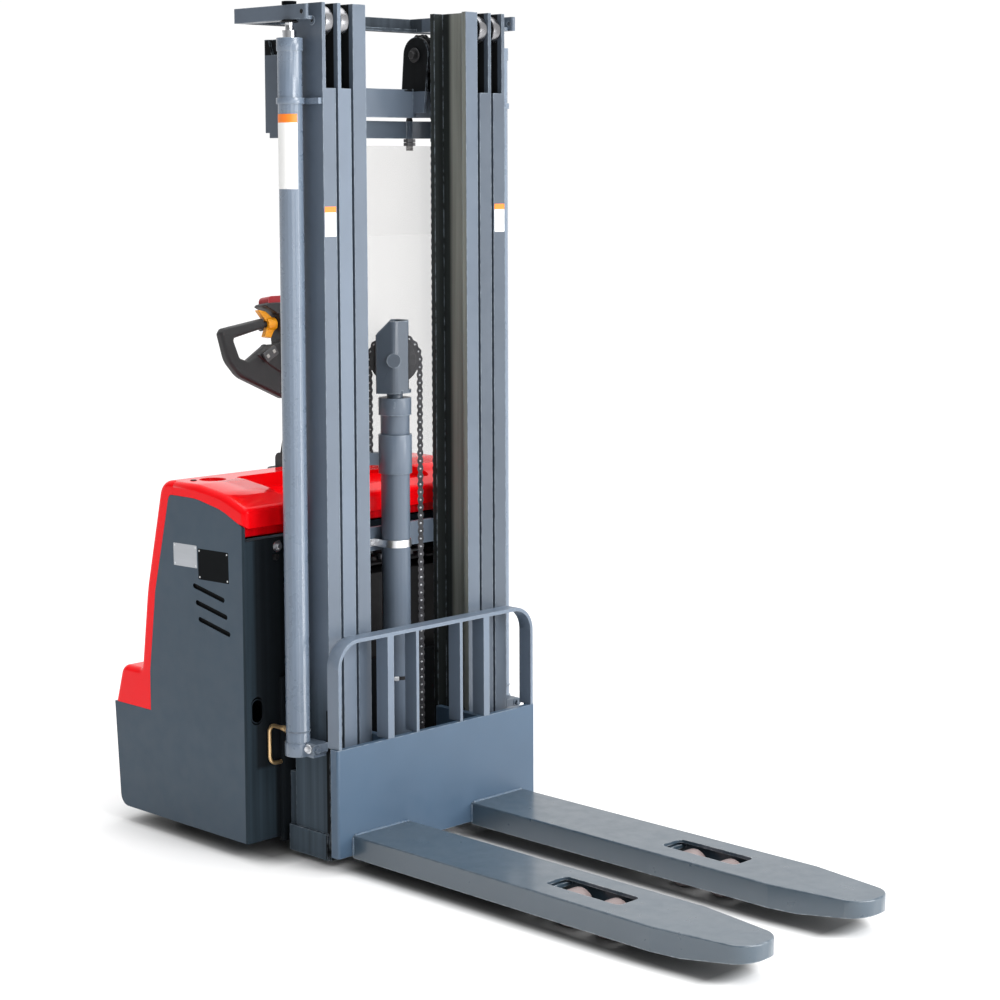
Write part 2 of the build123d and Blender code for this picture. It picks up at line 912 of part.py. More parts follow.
def yoke_cheek():
    """The front cheek: a plate bent along its right edge, with its upper left corner cut off."""
    with BuildPart() as cheek:
        with BuildSketch(Plane((tube_x, 0, yoke_bottom), x_dir=(1, 1, 0))):
            with BuildLine():
                FilletPolyline(
                    (-yoke_left, -cheek_clear - yoke_lean),
                    (yoke_right, -cheek_clear - yoke_depth),
                    (yoke_right + yoke_depth - yoke_plate, -cheek_clear - yoke_plate),
                    radius=yoke_bend,
                )
                offset(amount=yoke_plate / 2, side=Side.BOTH, kind=Kind.INTERSECTION)
            make_face()
        extrude(amount=yoke_top - yoke_bottom)
        with BuildSketch(yoke_plane):
            with BuildLine():
                Polyline(
                    (-2 * yoke_left, cheek_top - 2 * yoke_left + yoke_shoulder),
                    (-yoke_shoulder, cheek_top),
                    (-yoke_shoulder, cheek_top + yoke_cut),
                    (-2 * yoke_left, cheek_top + yoke_cut),
                    close=True,
                )
            make_face()
        extrude(amount=2 * yoke_depth, mode=Mode.SUBTRACT)
    return cheek.part


with BuildPart() as sheave_yoke:
    add(yoke_cheek())
    mirror(yoke_cheek(), about=yoke_plane)
    rod_z(tube_x, 0, nut_radius, (yoke_bottom, yoke_bottom + yoke_plate))
    with BuildSketch(Plane((tube_x, 0, yoke_bottom), x_dir=(1, 1, 0))):
        Rectangle(yoke_left + yoke_right, 2 * (cheek_clear + yoke_depth - yoke_plate))
    extrude(amount=yoke_plate)
    with BuildSketch(yoke_plane):
        Circle(lift_pin_radius)
    extrude(amount=cheek_clear + yoke_depth, both=True)
    for end in (-1, 1):
        with BuildSketch(yoke_plane.offset(end * (cheek_clear + yoke_depth - yoke_plate / 2))):
            Circle(pin_boss_radius)
        extrude(amount=yoke_plate, both=True)
save(sheave_yoke.part, "sheave_yoke")

with BuildPart() as lift_sheave:
    with BuildSketch(yoke_plane):
        Circle(lift_sheave_radius - chain_height / 2 - run_gap)
    extrude(amount=lift_sheave_half, both=True)
    for end in (-1, 1):
        with BuildSketch(yoke_plane.offset(end * (lift_sheave_half - sheave_flange / 2))):
            Circle(lift_sheave_flange)
        extrude(amount=sheave_flange / 2 - run_gap, both=True)
    with BuildSketch(yoke_plane):
        Circle(lift_pin_radius + bore_gap)
    extrude(amount=lift_sheave_half + 1, both=True, mode=Mode.SUBTRACT)
save(lift_sheave.part, "lift_sheave")


def lift_strand(x, y, zs):
    """A straight stretch of the lift chain, turned to the sheave's diagonal."""
    z, length = span(*zs)
    with Locations(Location((x, y, z), (0, 0, 45))):
        Box(chain_height, chain_width, length)


with BuildPart() as lift_chain_front:
    lift_strand(lift_front_x, chain_offset, (lug_z + lug_height, lift_sheave_z))
save(lift_chain_front.part, "lift_chain_front")

with BuildPart() as lift_chain_rear:
    with BuildSketch(yoke_plane):
        Circle(lift_sheave_radius + chain_height / 2)
        Circle(lift_sheave_radius - chain_height / 2, mode=Mode.SUBTRACT)
        with Locations((0, -lift_sheave_radius)):
            Rectangle(4 * lift_sheave_radius, 2 * lift_sheave_radius, mode=Mode.SUBTRACT)
    extrude(amount=chain_width / 2, both=True)
    lift_strand(lift_rear_x, -chain_offset, (anchor_arm_z + lug_height / 2, lift_sheave_z))
save(lift_chain_rear.part, "lift_chain_rear")

# Side lift cylinders with their base rings and clamps, their rods, and their pipes
tube_bore = rod_radius + tube_wall
with BuildPart() as lift_cylinder_right:
    rod_z(cylinder_x, -cylinder_y, cylinder_radius, (cylinder_bottom, cylinder_top))
    rod_z(cylinder_x, -cylinder_y, gland_radius, (cylinder_top, cylinder_top + gland_height))
    rod_z(cylinder_x, -cylinder_y, base_ring_radius, (cylinder_bottom, cylinder_bottom + base_ring_height))
    rod_z(
        cylinder_x,
        -cylinder_y,
        gland_radius + lane_gap,
        (clamp_z - clamp_height / 2, clamp_z + clamp_height / 2),
    )
    block(
        (cylinder_x, mast_front - flange_thick),
        (-cylinder_y, -outer_face),
        (cylinder_bottom, cylinder_bottom + base_ring_height),
    )
    block(
        (cylinder_x, mast_front - rail_gap / 2),
        (-outer_face - clamp_bar, -outer_face),
        (clamp_z - clamp_height / 2, clamp_z + clamp_height / 2),
    )
    block(
        (cylinder_x, cylinder_x + clamp_bar),
        (-cylinder_y, -outer_face),
        (clamp_z - clamp_height / 2, clamp_z + clamp_height / 2),
    )
    rod_z(cylinder_x, -cylinder_y, tube_bore, (rod_start - tube_wall, cylinder_top), Mode.SUBTRACT)
    rod_z(
        cylinder_x,
        -cylinder_y,
        rod_radius + bore_gap,
        (cylinder_top - 1, cylinder_top + gland_height + 1),
        Mode.SUBTRACT,
    )
save_pair(lift_cylinder_right.part, "lift_cylinder")

with BuildPart() as lift_rods:
    for side in (-1, 1):
        y = side * cylinder_y
        shoulder_z = cylinder_top + gland_height + rod_shoulder
        rod_z(cylinder_x, y, rod_radius, (rod_start, shoulder_z))
        rod_z(cylinder_x, y, rod_neck_radius, (shoulder_z, bow_bottom))
        rod_z(cylinder_x, y, cap_radius, (bow_bottom - washer_height, bow_bottom))
        rod_z(cylinder_x, y, cap_radius, (bow_top, bow_top + cap_height))
save(lift_rods.part, "lift_rods")

pipe_radius = 5
pipe_bend = 20
pipe_top = 322
pipe_bottom = 225
pipe_reach = 106
pipe_x = cylinder_x - pipe_reach
nut_length = 12
with BuildPart() as pipe_right:
    with BuildLine() as route:
        FilletPolyline(
            (cylinder_x - cylinder_radius, -cylinder_y, pipe_top),
            (pipe_x, -cylinder_y, pipe_top),
            (pipe_x, -cylinder_y, pipe_bottom),
            (pipe_x, -front_plate_half, pipe_bottom),
            radius=pipe_bend,
        )
    with BuildSketch(Plane(route.line @ 0, z_dir=route.line % 0)):
        Circle(pipe_radius)
    sweep()
    rod_x(
        -cylinder_y,
        pipe_top,
        pipe_radius * 1.8,
        (cylinder_x - cylinder_radius - nut_length, cylinder_x - cylinder_radius),
    )
with BuildPart() as hydraulic_pipes:
    add(pipe_right.part)
    mirror(pipe_right.part, about=Plane.XZ)
save(hydraulic_pipes.part, "hydraulic_pipes")

# Clear guard sheet behind the mast
with BuildPart() as mast_guard:
    block((guard_x - guard_thick, guard_x), (-guard_half, guard_half), (guard_bottom, guard_top))
save(mast_guard.part, "mast_guard")


# Hood: one outer form, cut into the rear cover and the battery lid
def rounded_corner(x, z, radius):
    """Round the sketch's corner nearest to a point, as far as the shorter of its two sides lets it."""
    corner = vertices().sort_by(lambda v: (Vector(v.X, v.Y) - Vector(x, z)).length)[0]
    centre = Vector(corner.X, corner.Y)
    ways = []
    for edge in edges():
        for near, far in ((0, 1), (1, 0)):
            if (edge.position_at(near) - centre).length < 0.001:
                ways.append(edge.position_at(far) - centre)
    room = 0.95 * min(way.length for way in ways) * tan(radians(ways[0].get_angle(ways[1]) / 2))
    fillet(corner, min(radius, room))


with BuildSketch() as hood_side:
    with BuildLine():
        Polyline(
            (plate_x - hood_front - hood_lip, hood_front_bottom),
            (plate_x - hood_front - hood_lip, hood_lip_bottom),
            (plate_x - hood_front, hood_lip_bottom),
            (plate_x - hood_front, hood_front_top),
            (plate_x - hood_knee, hood_knee_top),
            (plate_x - hood_deck, deck_top),
            (plate_x - hood_rear_top, deck_top),
            (plate_x - hood_rear_mid, hood_rear_mid_z),
            (plate_x - hood_step_x, hood_step_top),
            (plate_x - hood_step_back, hood_step_top),
            (rear_x, skirt_top + seam),
            (plate_x - bulkhead, skirt_top + seam),
            (plate_x - bulkhead, hood_front_bottom),
            close=True,
        )
    make_face()
    rounded_corner(plate_x - hood_front, hood_front_top, 18)
    rounded_corner(plate_x - hood_knee, hood_knee_top, 200)
    rounded_corner(plate_x - hood_deck, deck_top, 200)
    rounded_corner(plate_x - hood_rear_top, deck_top, 45)
    rounded_corner(plate_x - hood_rear_mid, hood_rear_mid_z, 500)
    rounded_corner(plate_x - hood_step_x, hood_step_top, 12)
    rounded_corner(plate_x - hood_step_back, hood_step_top, 30)

with BuildPart() as hood_form:
    with BuildSketch(Plane.XZ):
        add(hood_side.sketch)
    extrude(amount=panel_y, both=True)
    side_edges = edges().filter_by(lambda edge: abs(abs(edge.center().Y) - panel_y) < 0.01)
    rounded = side_edges.filter_by(
        lambda edge: edge.center().Z > skirt_top + hood_edge and edge.center().X < plate_x - hood_front + 1
    ).filter_by(
        lambda edge: not (
            abs(edge.center().Z - hood_front_bottom) < 1 or abs(edge.center().X - plate_x + bulkhead) < 1
        )
    )
    fillet(rounded, hood_edge)

with BuildPart() as hood_space:
    with BuildSketch(Plane.XZ):
        add(hood_side.sketch)
        offset(amount=-hood_wall, mode=Mode.REPLACE)
    extrude(amount=panel_y - hood_wall, both=True)
    block(
        (rear_x + 2 * hood_wall, plate_x - bulkhead - hood_wall),
        (hood_wall - panel_y, panel_y - hood_wall),
        (skirt_top - hood_wall, skirt_top + 4 * hood_wall),
    )
    block(
        (plate_x - bulkhead - 2 * hood_wall, plate_x - hood_front - hood_wall),
        (hood_wall - panel_y, panel_y - hood_wall),
        (hood_front_bottom - 2 * hood_wall, hood_front_bottom + 2 * hood_wall),
    )
    block(
        (plate_x - bulkhead - 2 * hood_wall, plate_x - bulkhead + hood_wall),
        (hood_wall - panel_y, panel_y - hood_wall),
        (skirt_top - hood_wall, hood_front_bottom + 2 * hood_wall),
    )


def panel_outline(grow):
    """The side panel seen from the side, grown by a seam."""
    rear_low = plate_x - hood_step_x + rear_rim - grow
    rear_top = plate_x - hood_rear_top + panel_rim - grow
    knee_top = hood_knee_top - panel_rim * 1.15 + grow
    top = deck_top - panel_rim + grow
    with BuildSketch() as outline:
        with BuildLine():
            Polyline(
                (plate_x - panel_front + grow, panel_bottom),
                (plate_x - panel_front + grow, hood_front_top - panel_rim * 1.3 + grow),
                (plate_x - hood_knee, knee_top),
                (plate_x - hood_deck, top),
                (rear_top, top),
                (plate_x - hood_rear_mid + rear_rim - grow, hood_rear_mid_z),
                (rear_low, hood_step_top),
                (rear_low, skirt_top + grow),
                (rear_x, skirt_top + grow),
                (rear_x + skirt_slope, panel_bottom),
                close=True,
            )
        make_face()
        rounded_corner(plate_x - hood_knee, knee_top, 200)
        rounded_corner(plate_x - hood_deck, top, 200)
        rounded_corner(rear_top, top, 16)
        rounded_corner(rear_x + skirt_slope, panel_bottom, panel_corner)
    return outline.sketch


niche_radius = column_radius + niche_gap
with BuildPart() as niche_liner:
    rod_z(steer_x, 0, niche_radius + hood_wall, (hood_rear_mid_z - 4 * niche_gap, deck_top + 1))
    add(hood_form.part, mode=Mode.INTERSECT)

with BuildPart() as hood_shell:
    add(hood_form.part)
    add(hood_space.part, mode=Mode.SUBTRACT)
    for side in (-1, 1):
        with BuildSketch(Plane.XZ.offset(-side * panel_y)):
            add(panel_outline(seam))
        extrude(amount=hood_wall + 1, both=True, mode=Mode.SUBTRACT)

stop_x = plate_x - (hood_step_x + hood_step_back) / 2
stop_y = 180
stop_stem = 11
with BuildPart() as rear_cover:
    add(hood_shell.part)
    add(niche_liner.part)
    rod_z(stop_x, stop_y, stop_stem + run_gap, (skirt_top, deck_top), Mode.SUBTRACT)
    rod_z(steer_x, 0, niche_radius, (skirt_top, deck_top + 1), Mode.SUBTRACT)
    block(
        (plate_x - lid_seam - seam, plate_x),
        (-body_width, body_width),
        (0, mast_height),
        Mode.SUBTRACT,
    )
save(rear_cover.part, "rear_cover")

with BuildPart() as tray_liner:
    block(
        (plate_x - tray_back - tray_wall, plate_x - tray_front + tray_wall),
        (-tray_half - tray_wall, tray_half + tray_wall),
        (deck_top - tray_depth - tray_wall, deck_top),
    )
    add(hood_form.part, mode=Mode.INTERSECT)

with BuildPart() as battery_lid:
    add(hood_shell.part)
    add(tray_liner.part)
    for side in (-1, 1):
        rod_z(
            plate_x - cup_x,
            side * cup_y,
            cup_radius + tray_wall,
            (deck_top - cup_depth, deck_top - hood_wall),
        )
    for side in (-1, 1):
        rod_z(
            plate_x - cup_x,
            side * cup_y,
            cup_radius,
            (deck_top - cup_depth + tray_wall, deck_top + 1),
            Mode.SUBTRACT,
        )
    with BuildSketch(Plane((plate_x - (tray_back + tray_front) / 2, 0, deck_top - tray_depth))):
        RectangleRounded(tray_back - tray_front, 2 * tray_half, tray_round)
    extrude(amount=tray_depth + 1, mode=Mode.SUBTRACT)
    block(
        (rear_x - 1, plate_x - lid_seam),
        (-body_width, body_width),
        (0, mast_height),
        Mode.SUBTRACT,
    )
save(battery_lid.part, "battery_lid")

# Side panels: grey sheets with a folded front return, a cable hole and three vent slots
slot_x = 384
slot_z = 631
slot_step_x = 10
slot_step_z = 40
slot_length = 124
slot_height = 12
slot_tilt = -11
hole_width = 36
hole_height = 68
hole_inset = 34
hole_y = panel_y - hole_inset
hole_z = 358
with BuildPart() as side_panel_right:
    with BuildSketch(Plane.XZ.offset(panel_y - panel_thick)):
        add(panel_outline(0))
    extrude(amount=panel_thick)
    with BuildSketch(Plane.XZ.offset(panel_y - panel_thick - 1)):
        for row in range(3):
            spot = (plate_x - slot_x + row * slot_step_x, slot_z - row * slot_step_z)
            with Locations(Location(spot, slot_tilt)):
                SlotOverall(slot_length, slot_height)
    extrude(amount=panel_thick + 2, mode=Mode.SUBTRACT)
    block(
        (plate_x - panel_front - panel_thick, plate_x - panel_front),
        (-panel_y, front_return - panel_y),
        (panel_bottom, hood_front_bottom - seam),
    )
    with BuildSketch(Plane.YZ.offset(plate_x - panel_front - 2 * panel_thick)):
        with Locations((-hole_y, hole_z)):
            SlotOverall(hole_height, hole_width, rotation=90)
    extrude(amount=3 * panel_thick, mode=Mode.SUBTRACT)
save_pair(side_panel_right.part, "side_panel")

# Chassis: front plate, battery tub, drive plate, rear skirt and caster hangers
return_back = plate_x - panel_front - panel_thick
hanger_half = 30
caster_pad = 12
with BuildPart() as chassis_frame:
    block(
        (front_plate_x - frame_plate, front_plate_x),
        (-front_plate_half, front_plate_half),
        (front_plate_bottom, front_plate_bottom + front_plate_height),
    )
    block(
        (plate_x - bulkhead, front_plate_x - frame_plate / 2),
        (front_return + lane_gap - panel_y, panel_y - front_return - lane_gap),
        (floor_bottom, floor_bottom + frame_plate),
    )
    block(
        (plate_x - bulkhead, return_back),
        (-frame_y, frame_y),
        (floor_bottom, floor_bottom + frame_plate),
    )
    block(
        (plate_x - bulkhead, plate_x - bulkhead + bulkhead_thick),
        (-frame_y, frame_y),
        (floor_bottom, bulkhead_top),
    )
    for side in (-1, 1):
        block(
            (plate_x - bulkhead, return_back),
            (side * (frame_y - bulkhead_thick), side * frame_y),
            (floor_bottom, bulkhead_top),
        )
    block(
        (rear_x + skirt_thick, plate_x - bulkhead + bulkhead_thick),
        (-frame_y, frame_y),
        (drive_plate_bottom, drive_plate_bottom + drive_plate_thick),
    )
    with BuildSketch(Plane.XZ):
        with BuildLine():
            Polyline(
                (rear_x, skirt_top),
                (rear_x + skirt_slope, panel_bottom + panel_corner),
                (rear_x + skirt_slope + skirt_thick, panel_bottom + panel_corner),
                (rear_x + skirt_thick, skirt_top),
                close=True,
            )
        make_face()
    extrude(amount=frame_y, both=True)
    for side in (-1, 1):
        block(
            (caster_x - hanger_half, caster_x + hanger_half),
            (side * (caster_y - hanger_half), side * (caster_y + hanger_half)),
            (caster_plate_z, drive_plate_bottom),
        )
    rod_z(
        steer_x,
        0,
        steer_boss_radius + bore_gap,
        (drive_plate_bottom - 1, drive_plate_bottom + drive_plate_thick + 1),
        Mode.SUBTRACT,
    )
    for side in (-1, 1):
        rod_z(
            caster_x,
            side * caster_y,
            caster_stem_radius + bore_gap,
            (caster_plate_z - 1, caster_plate_z + 2 * hanger_half),
            Mode.SUBTRACT,
        )
save(chassis_frame.part, "chassis_frame")

# What the body holds: battery, hydraulic power unit and motor controller
battery_gap = 4
battery_top = 640
battery_inset = 100
battery_half = panel_y - battery_inset
terminal_radius = 14
with BuildPart() as battery_pack:
    block(
        (plate_x - bulkhead + bulkhead_thick + battery_gap, return_back - battery_gap),
        (-battery_half, battery_half),
        (floor_bottom + frame_plate, battery_top),
    )
    for y in (-battery_half / 2, battery_half / 2):
        rod_z((plate_x - bulkhead + return_back) / 2, y, terminal_radius, (battery_top, battery_top + 20))
save(battery_pack.part, "battery_pack")

tank_size = (120, 140, 150)
pump_x = plate_x - bulkhead - tank_size[0] / 2
pump_y = -caster_y
drive_plate_top = drive_plate_bottom + drive_plate_thick
pump_motor_radius = 52
pump_motor_height = 170
pump_cap_height = 15
pump_top = drive_plate_top + tank_size[2] + pump_motor_height
with BuildPart() as hydraulic_power_unit:
    block(
        (pump_x - tank_size[0] / 2, pump_x + tank_size[0] / 2),
        (pump_y - tank_size[1] / 2, pump_y + tank_size[1] / 2),
        (drive_plate_top, drive_plate_top + tank_size[2]),
    )
    rod_z(pump_x, pump_y, pump_motor_radius, (drive_plate_top + tank_size[2], pump_top))
    rod_z(pump_x, pump_y, pump_motor_radius * 0.6, (pump_top, pump_top + pump_cap_height))
save(hydraulic_power_unit.part, "hydraulic_power_unit")

controller_size = (80, 180, 200)
controller_z = 520
with BuildPart() as motor_controller:
    block(
        (plate_x - bulkhead - controller_size[0], plate_x - bulkhead),
        (caster_y - controller_size[1] / 2, caster_y + controller_size[1] / 2),
        (controller_z - controller_size[2] / 2, controller_z + controller_size[2] / 2),
    )
    for row in range(7):
        fin_z = controller_z + (row - 3) * controller_size[2] / 8
        block(
            (plate_x - bulkhead - controller_size[0] - 8, plate_x - bulkhead - controller_size[0]),
            (caster_y - controller_size[1] / 2, caster_y + controller_size[1] / 2),
            (fin_z - 3, fin_z + 3),
        )
save(motor_controller.part, "motor_controller")

# Drive unit: wheel fork, gear housing, motor and the column that carries the tiller
cheek_y = drive_width / 2 + 5
disc_bottom = drive_plate_bottom - run_gap - steer_disc_thick
cheek_half = 70
boss_rise = 20
hub_depth = 12
ear_near = arm_width / 2 + 2
ear_half = 16
with BuildPart() as drive_unit:
    for side in (-1, 1):
        block(
            (steer_x - cheek_half, steer_x + cheek_half),
            (side * cheek_y, side * (cheek_y + fork_cheek)),
            (drive_radius, disc_bottom),
        )
        rod_y(steer_x, drive_radius, cheek_half, (side * cheek_y, side * (cheek_y + fork_cheek)))
    rod_z(steer_x, 0, steer_disc_radius, (disc_bottom, disc_bottom + steer_disc_thick))
    rod_z(steer_x, 0, steer_boss_radius, (disc_bottom, drive_plate_top + boss_rise))
    rod_z(steer_x, 0, motor_radius, (drive_plate_top + boss_rise, motor_top))
    rod_z(steer_x, 0, column_radius, (motor_top, column_top))
    rod_z(steer_x, 0, column_radius + 8, (column_top, column_top + ear_thick))
    for side in (-1, 1):
        block(
            (tiller_x - ear_half, tiller_x + ear_half),
            (side * ear_near, side * (ear_near + ear_thick)),
            (column_top, tiller_z),
        )
        rod_y(tiller_x, tiller_z, ear_half, (side * ear_near, side * (ear_near + ear_thick)))
    rod_y(tiller_x, tiller_z, tiller_pin_radius, (-ear_near, ear_near))
    rod_y(steer_x, drive_radius, drive_axle_radius, (-cheek_y, cheek_y))
save(drive_unit.part, "drive_unit")

with BuildPart() as drive_wheel:
    half = drive_width / 2
    ring_y(steer_x, drive_radius, drive_radius, drive_axle_radius + bore_gap, (-half, half))
    fillet(edges().filter_by(GeomType.CIRCLE).group_by(SortBy.RADIUS)[-1], 6)
    for side in (-1, 1):
        hub_ys = (side * half, side * (half - hub_depth))
        rod_y(steer_x, drive_radius, drive_radius * 0.62, hub_ys, Mode.SUBTRACT)
        ring_y(
            steer_x,
            drive_radius,
            drive_radius * 0.3,
            drive_axle_radius + bore_gap,
            (side * half, side * (half - hub_depth)),
        )
save(drive_wheel.part, "drive_wheel")

# Tiller arm and control head
arm_boss = 15
arm_mid_x = tiller_x + arm_lean / 2 + arm_bow
arm_mid_z = (tiller_z + head_base_z) / 2
arm_rake = arm_depth / 2 * tan(radians(head_tilt))
with BuildPart() as tiller_arm:
    with BuildSketch(Plane.XZ):
        with BuildLine():
            Polyline(
                (tiller_x - arm_depth / 2, tiller_z),
                (arm_mid_x - arm_depth / 2, arm_mid_z),
                (tiller_x + arm_lean - arm_depth / 2, head_base_z - run_gap - arm_rake),
                (tiller_x + arm_lean + arm_depth / 2, head_base_z - run_gap + arm_rake),
                (arm_mid_x + arm_depth / 2, arm_mid_z),
                (tiller_x + arm_depth / 2, tiller_z),
                close=True,
            )
        make_face()
    extrude(amount=arm_width / 2 - 2, both=True)
    rod_y(tiller_x, tiller_z, arm_boss, (-arm_width / 2, arm_width / 2))
    rod_y(tiller_x, tiller_z, tiller_pin_radius + bore_gap, (-arm_width, arm_width), Mode.SUBTRACT)
save(tiller_arm.part, "tiller_arm")

head_x_base = tiller_x + arm_lean
head_plane = Plane(
    (head_x_base, 0, head_base_z),
    x_dir=(0, 1, 0),
    z_dir=(cos(radians(head_tilt)), 0, sin(radians(head_tilt))),
)
loop_half = 202
loop_bar = 38
loop_low = 63
loop_foot = 105
loop_round = 60
loop_top = 176
loop_shoulder = 12
loop_crown = 37
hole_low = 102
hole_rise = 37
hole_toe = 8
hole_top = 160
hole_crown = 21
hole_round = 8
neck_half = 26
waist_half = 18
waist_low = 60
cap_half = 62
cap_low = 212
cap_high = 244
cap_bevel = 26
cap_top_half = 54
cap_wall = 4
box_back = 22
box_front = 26
head_edge = 9
pod_lift = 18
paddle_b = 191
paddle_shaft = 8
paddle_hub = 17
paddle_gap = 2
paddle_near = waist_half + paddle_gap
paddle_far = 48
bar_start = 62
belly_half = 48
belly_stem = 8
belly_bore = 27
belly_height = 21
belly_round = 14
belly_travel = 5
pocket_depth = 10
button_plane = Plane(
    head_plane.from_local_coords(Vector(0, cap_high - pocket_depth, (box_front - box_back) / 2)),
    x_dir=(0, 1, 0),
    z_dir=(-sin(radians(head_tilt)), 0, cos(radians(head_tilt))),
)


def head_sides(points):
    """A closed outline from its right half, mirrored about the head's middle."""
    right = [(-a, b) for a, b in points]
    left = [(a, b) for a, b in reversed(points)]
    return right + left


def hole_sketch(side):
    """One finger hole: it narrows towards the middle, above the shield."""
    with BuildSketch() as hole:
        with BuildLine():
            Polyline(
                (side * bar_start, hole_low + hole_rise),
                (side * 0.63 * loop_half, hole_low),
                (side * 0.74 * loop_half, hole_low + hole_toe),
                (side * (loop_half - loop_bar), hole_top),
                (side * bar_start, hole_top + hole_crown),
                close=True,
            )
        make_face()
        fillet(vertices(), hole_round)
    return hole.sketch


with BuildPart() as tiller_head:
    with BuildSketch(head_plane):
        with BuildLine():
            Polyline(
                *head_sides(
                    [
                        (neck_half, 0),
                        (0.78 * loop_half, loop_low),
                        (0.94 * loop_half, loop_foot),
                        (loop_half, loop_top),
                        (0.95 * loop_half, loop_top + loop_shoulder),
                        (waist_half, loop_top + loop_crown),
                    ]
                ),
                close=True,
            )
        make_face()
        for side in (-1, 1):
            rounded_corner(side * 0.78 * loop_half, loop_low, loop_round)
            rounded_corner(side * 0.94 * loop_half, loop_foot, loop_round)
            rounded_corner(side * loop_half, loop_top, head_edge)
            rounded_corner(side * 0.95 * loop_half, loop_top + loop_shoulder, head_edge)
            add(hole_sketch(side), mode=Mode.SUBTRACT)
    extrude(amount=head_thick / 2, both=True)
    loop_edges = edges().filter_by(
        lambda edge: abs(abs(head_plane.to_local_coords(edge.center()).Z) - head_thick / 2) < 0.1
    )
    fillet(loop_edges, head_edge)
    with BuildSketch(head_plane):
        for side in (-1, 1):
            with Locations((side * (waist_half + bar_start) / 2, hole_low + hole_rise + loop_half / 2)):
                Rectangle(bar_start - waist_half, loop_half)
    extrude(amount=head_thick, both=True, mode=Mode.SUBTRACT)
    with BuildSketch(head_plane.offset(-box_back)):
        with BuildLine():
            Polyline(
                *head_sides(
                    [
                        (waist_half, waist_low),
                        (waist_half, cap_low),
                        (cap_half, cap_low + cap_bevel),
                        (cap_top_half, cap_high),
                    ]
                ),
                close=True,
            )
        make_face()
    extrude(amount=box_back + box_front)
    with BuildSketch(head_plane):
        with BuildLine():
            Polyline(
                *head_sides(
                    [
                        (waist_half, waist_low),
                        (0.32 * loop_half, hole_low - loop_shoulder),
                        (0.48 * loop_half, hole_low + loop_shoulder),
                        (waist_half, hole_low + 1.2 * hole_rise),
                    ]
                ),
                close=True,
            )
        make_face()
    extrude(amount=pod_lift)
    shaft_point = head_plane.from_local_coords(Vector(0, paddle_b, 0))
    rod_y(shaft_point.X, shaft_point.Z, paddle_shaft, (-bar_start - paddle_gap, bar_start + paddle_gap))
    with BuildSketch(button_plane):
        Rectangle(2 * (belly_half + run_gap), box_back + box_front - 2 * cap_wall)
    extrude(amount=2 * pocket_depth, mode=Mode.SUBTRACT)
    with BuildSketch(button_plane):
        Circle(belly_stem + run_gap)
    extrude(amount=-belly_bore, mode=Mode.SUBTRACT)
save(tiller_head.part, "tiller_head")

paddle_tip = 72
paddle_high = 38
paddle_low = 31
paddle_slope = 5
paddle_waist = 44
paddle_foot = (40, 60)
paddle_thick = 16
with BuildPart() as thumb_paddles:
    for side in (-1, 1):
        rod_y(shaft_point.X, shaft_point.Z, paddle_hub, (side * paddle_near, side * paddle_far))
        with BuildSketch(head_plane):
            with BuildLine():
                Polyline(
                    (side * paddle_near, paddle_b - paddle_hub / 2),
                    (side * paddle_near, paddle_b + paddle_hub / 2),
                    (side * paddle_far, paddle_b + paddle_high - paddle_slope),
                    (side * paddle_tip, paddle_b + paddle_high),
                    (side * paddle_waist, paddle_b),
                    (side * paddle_foot[1], paddle_b - paddle_low),
                    (side * paddle_foot[0], paddle_b - paddle_low - paddle_slope),
                    close=True,
                )
            make_face()
        extrude(amount=paddle_thick / 2, both=True)
    rod_y(shaft_point.X, shaft_point.Z, paddle_shaft + bore_gap, (-paddle_tip, paddle_tip), Mode.SUBTRACT)
save(thumb_paddles.part, "thumb_paddles")

belly_low = cap_high - pocket_depth + belly_travel + 1
belly_inset = cap_wall + run_gap
with BuildPart() as belly_button:
    with BuildSketch(head_plane.offset(belly_inset - box_back)):
        with BuildLine():
            Polyline(
                (-belly_half, belly_low),
                (belly_half, belly_low),
                (belly_half, belly_low + belly_height),
                (-belly_half, belly_low + belly_height),
                close=True,
            )
        make_face()
        for side in (-1, 1):
            rounded_corner(side * belly_half, belly_low + belly_height, belly_round)
    extrude(amount=box_back + box_front - 2 * belly_inset)
    with BuildSketch(button_plane.offset(belly_travel - belly_bore + 2)):
        Circle(belly_stem)
    extrude(amount=belly_bore)
save(belly_button.part, "belly_button")

rocker_a = -62
rocker_b = 114
rocker_size = (46, 26)
rocker_turn = 28
rocker_lift = 4
rocker_stem = 4
rocker_thick = 6
with BuildPart() as lift_rocker:
    with BuildSketch(head_plane.offset(pod_lift + rocker_lift)):
        with Locations(Location((rocker_a, rocker_b), rocker_turn)):
            RectangleRounded(*rocker_size, rocker_stem)
    extrude(amount=rocker_thick)
    with BuildSketch(head_plane.offset(pod_lift + 2 * run_gap)):
        with Locations((rocker_a, rocker_b)):
            Circle(rocker_stem)
    extrude(amount=rocker_lift)
save(lift_rocker.part, "lift_rocker")

stop_head = 20
stop_high = 26
stop_travel_gap = 8
stop_round = 6
with BuildPart() as emergency_stop:
    rod_z(stop_x, stop_y, stop_stem, (hood_step_top - 12, hood_step_top + stop_travel_gap * 2))
    rod_z(stop_x, stop_y, stop_head, (hood_step_top + stop_travel_gap, hood_step_top + stop_high))
    fillet(edges().filter_by(GeomType.CIRCLE).group_by(Axis.Z)[-1], stop_round)
save(emergency_stop.part, "emergency_stop")

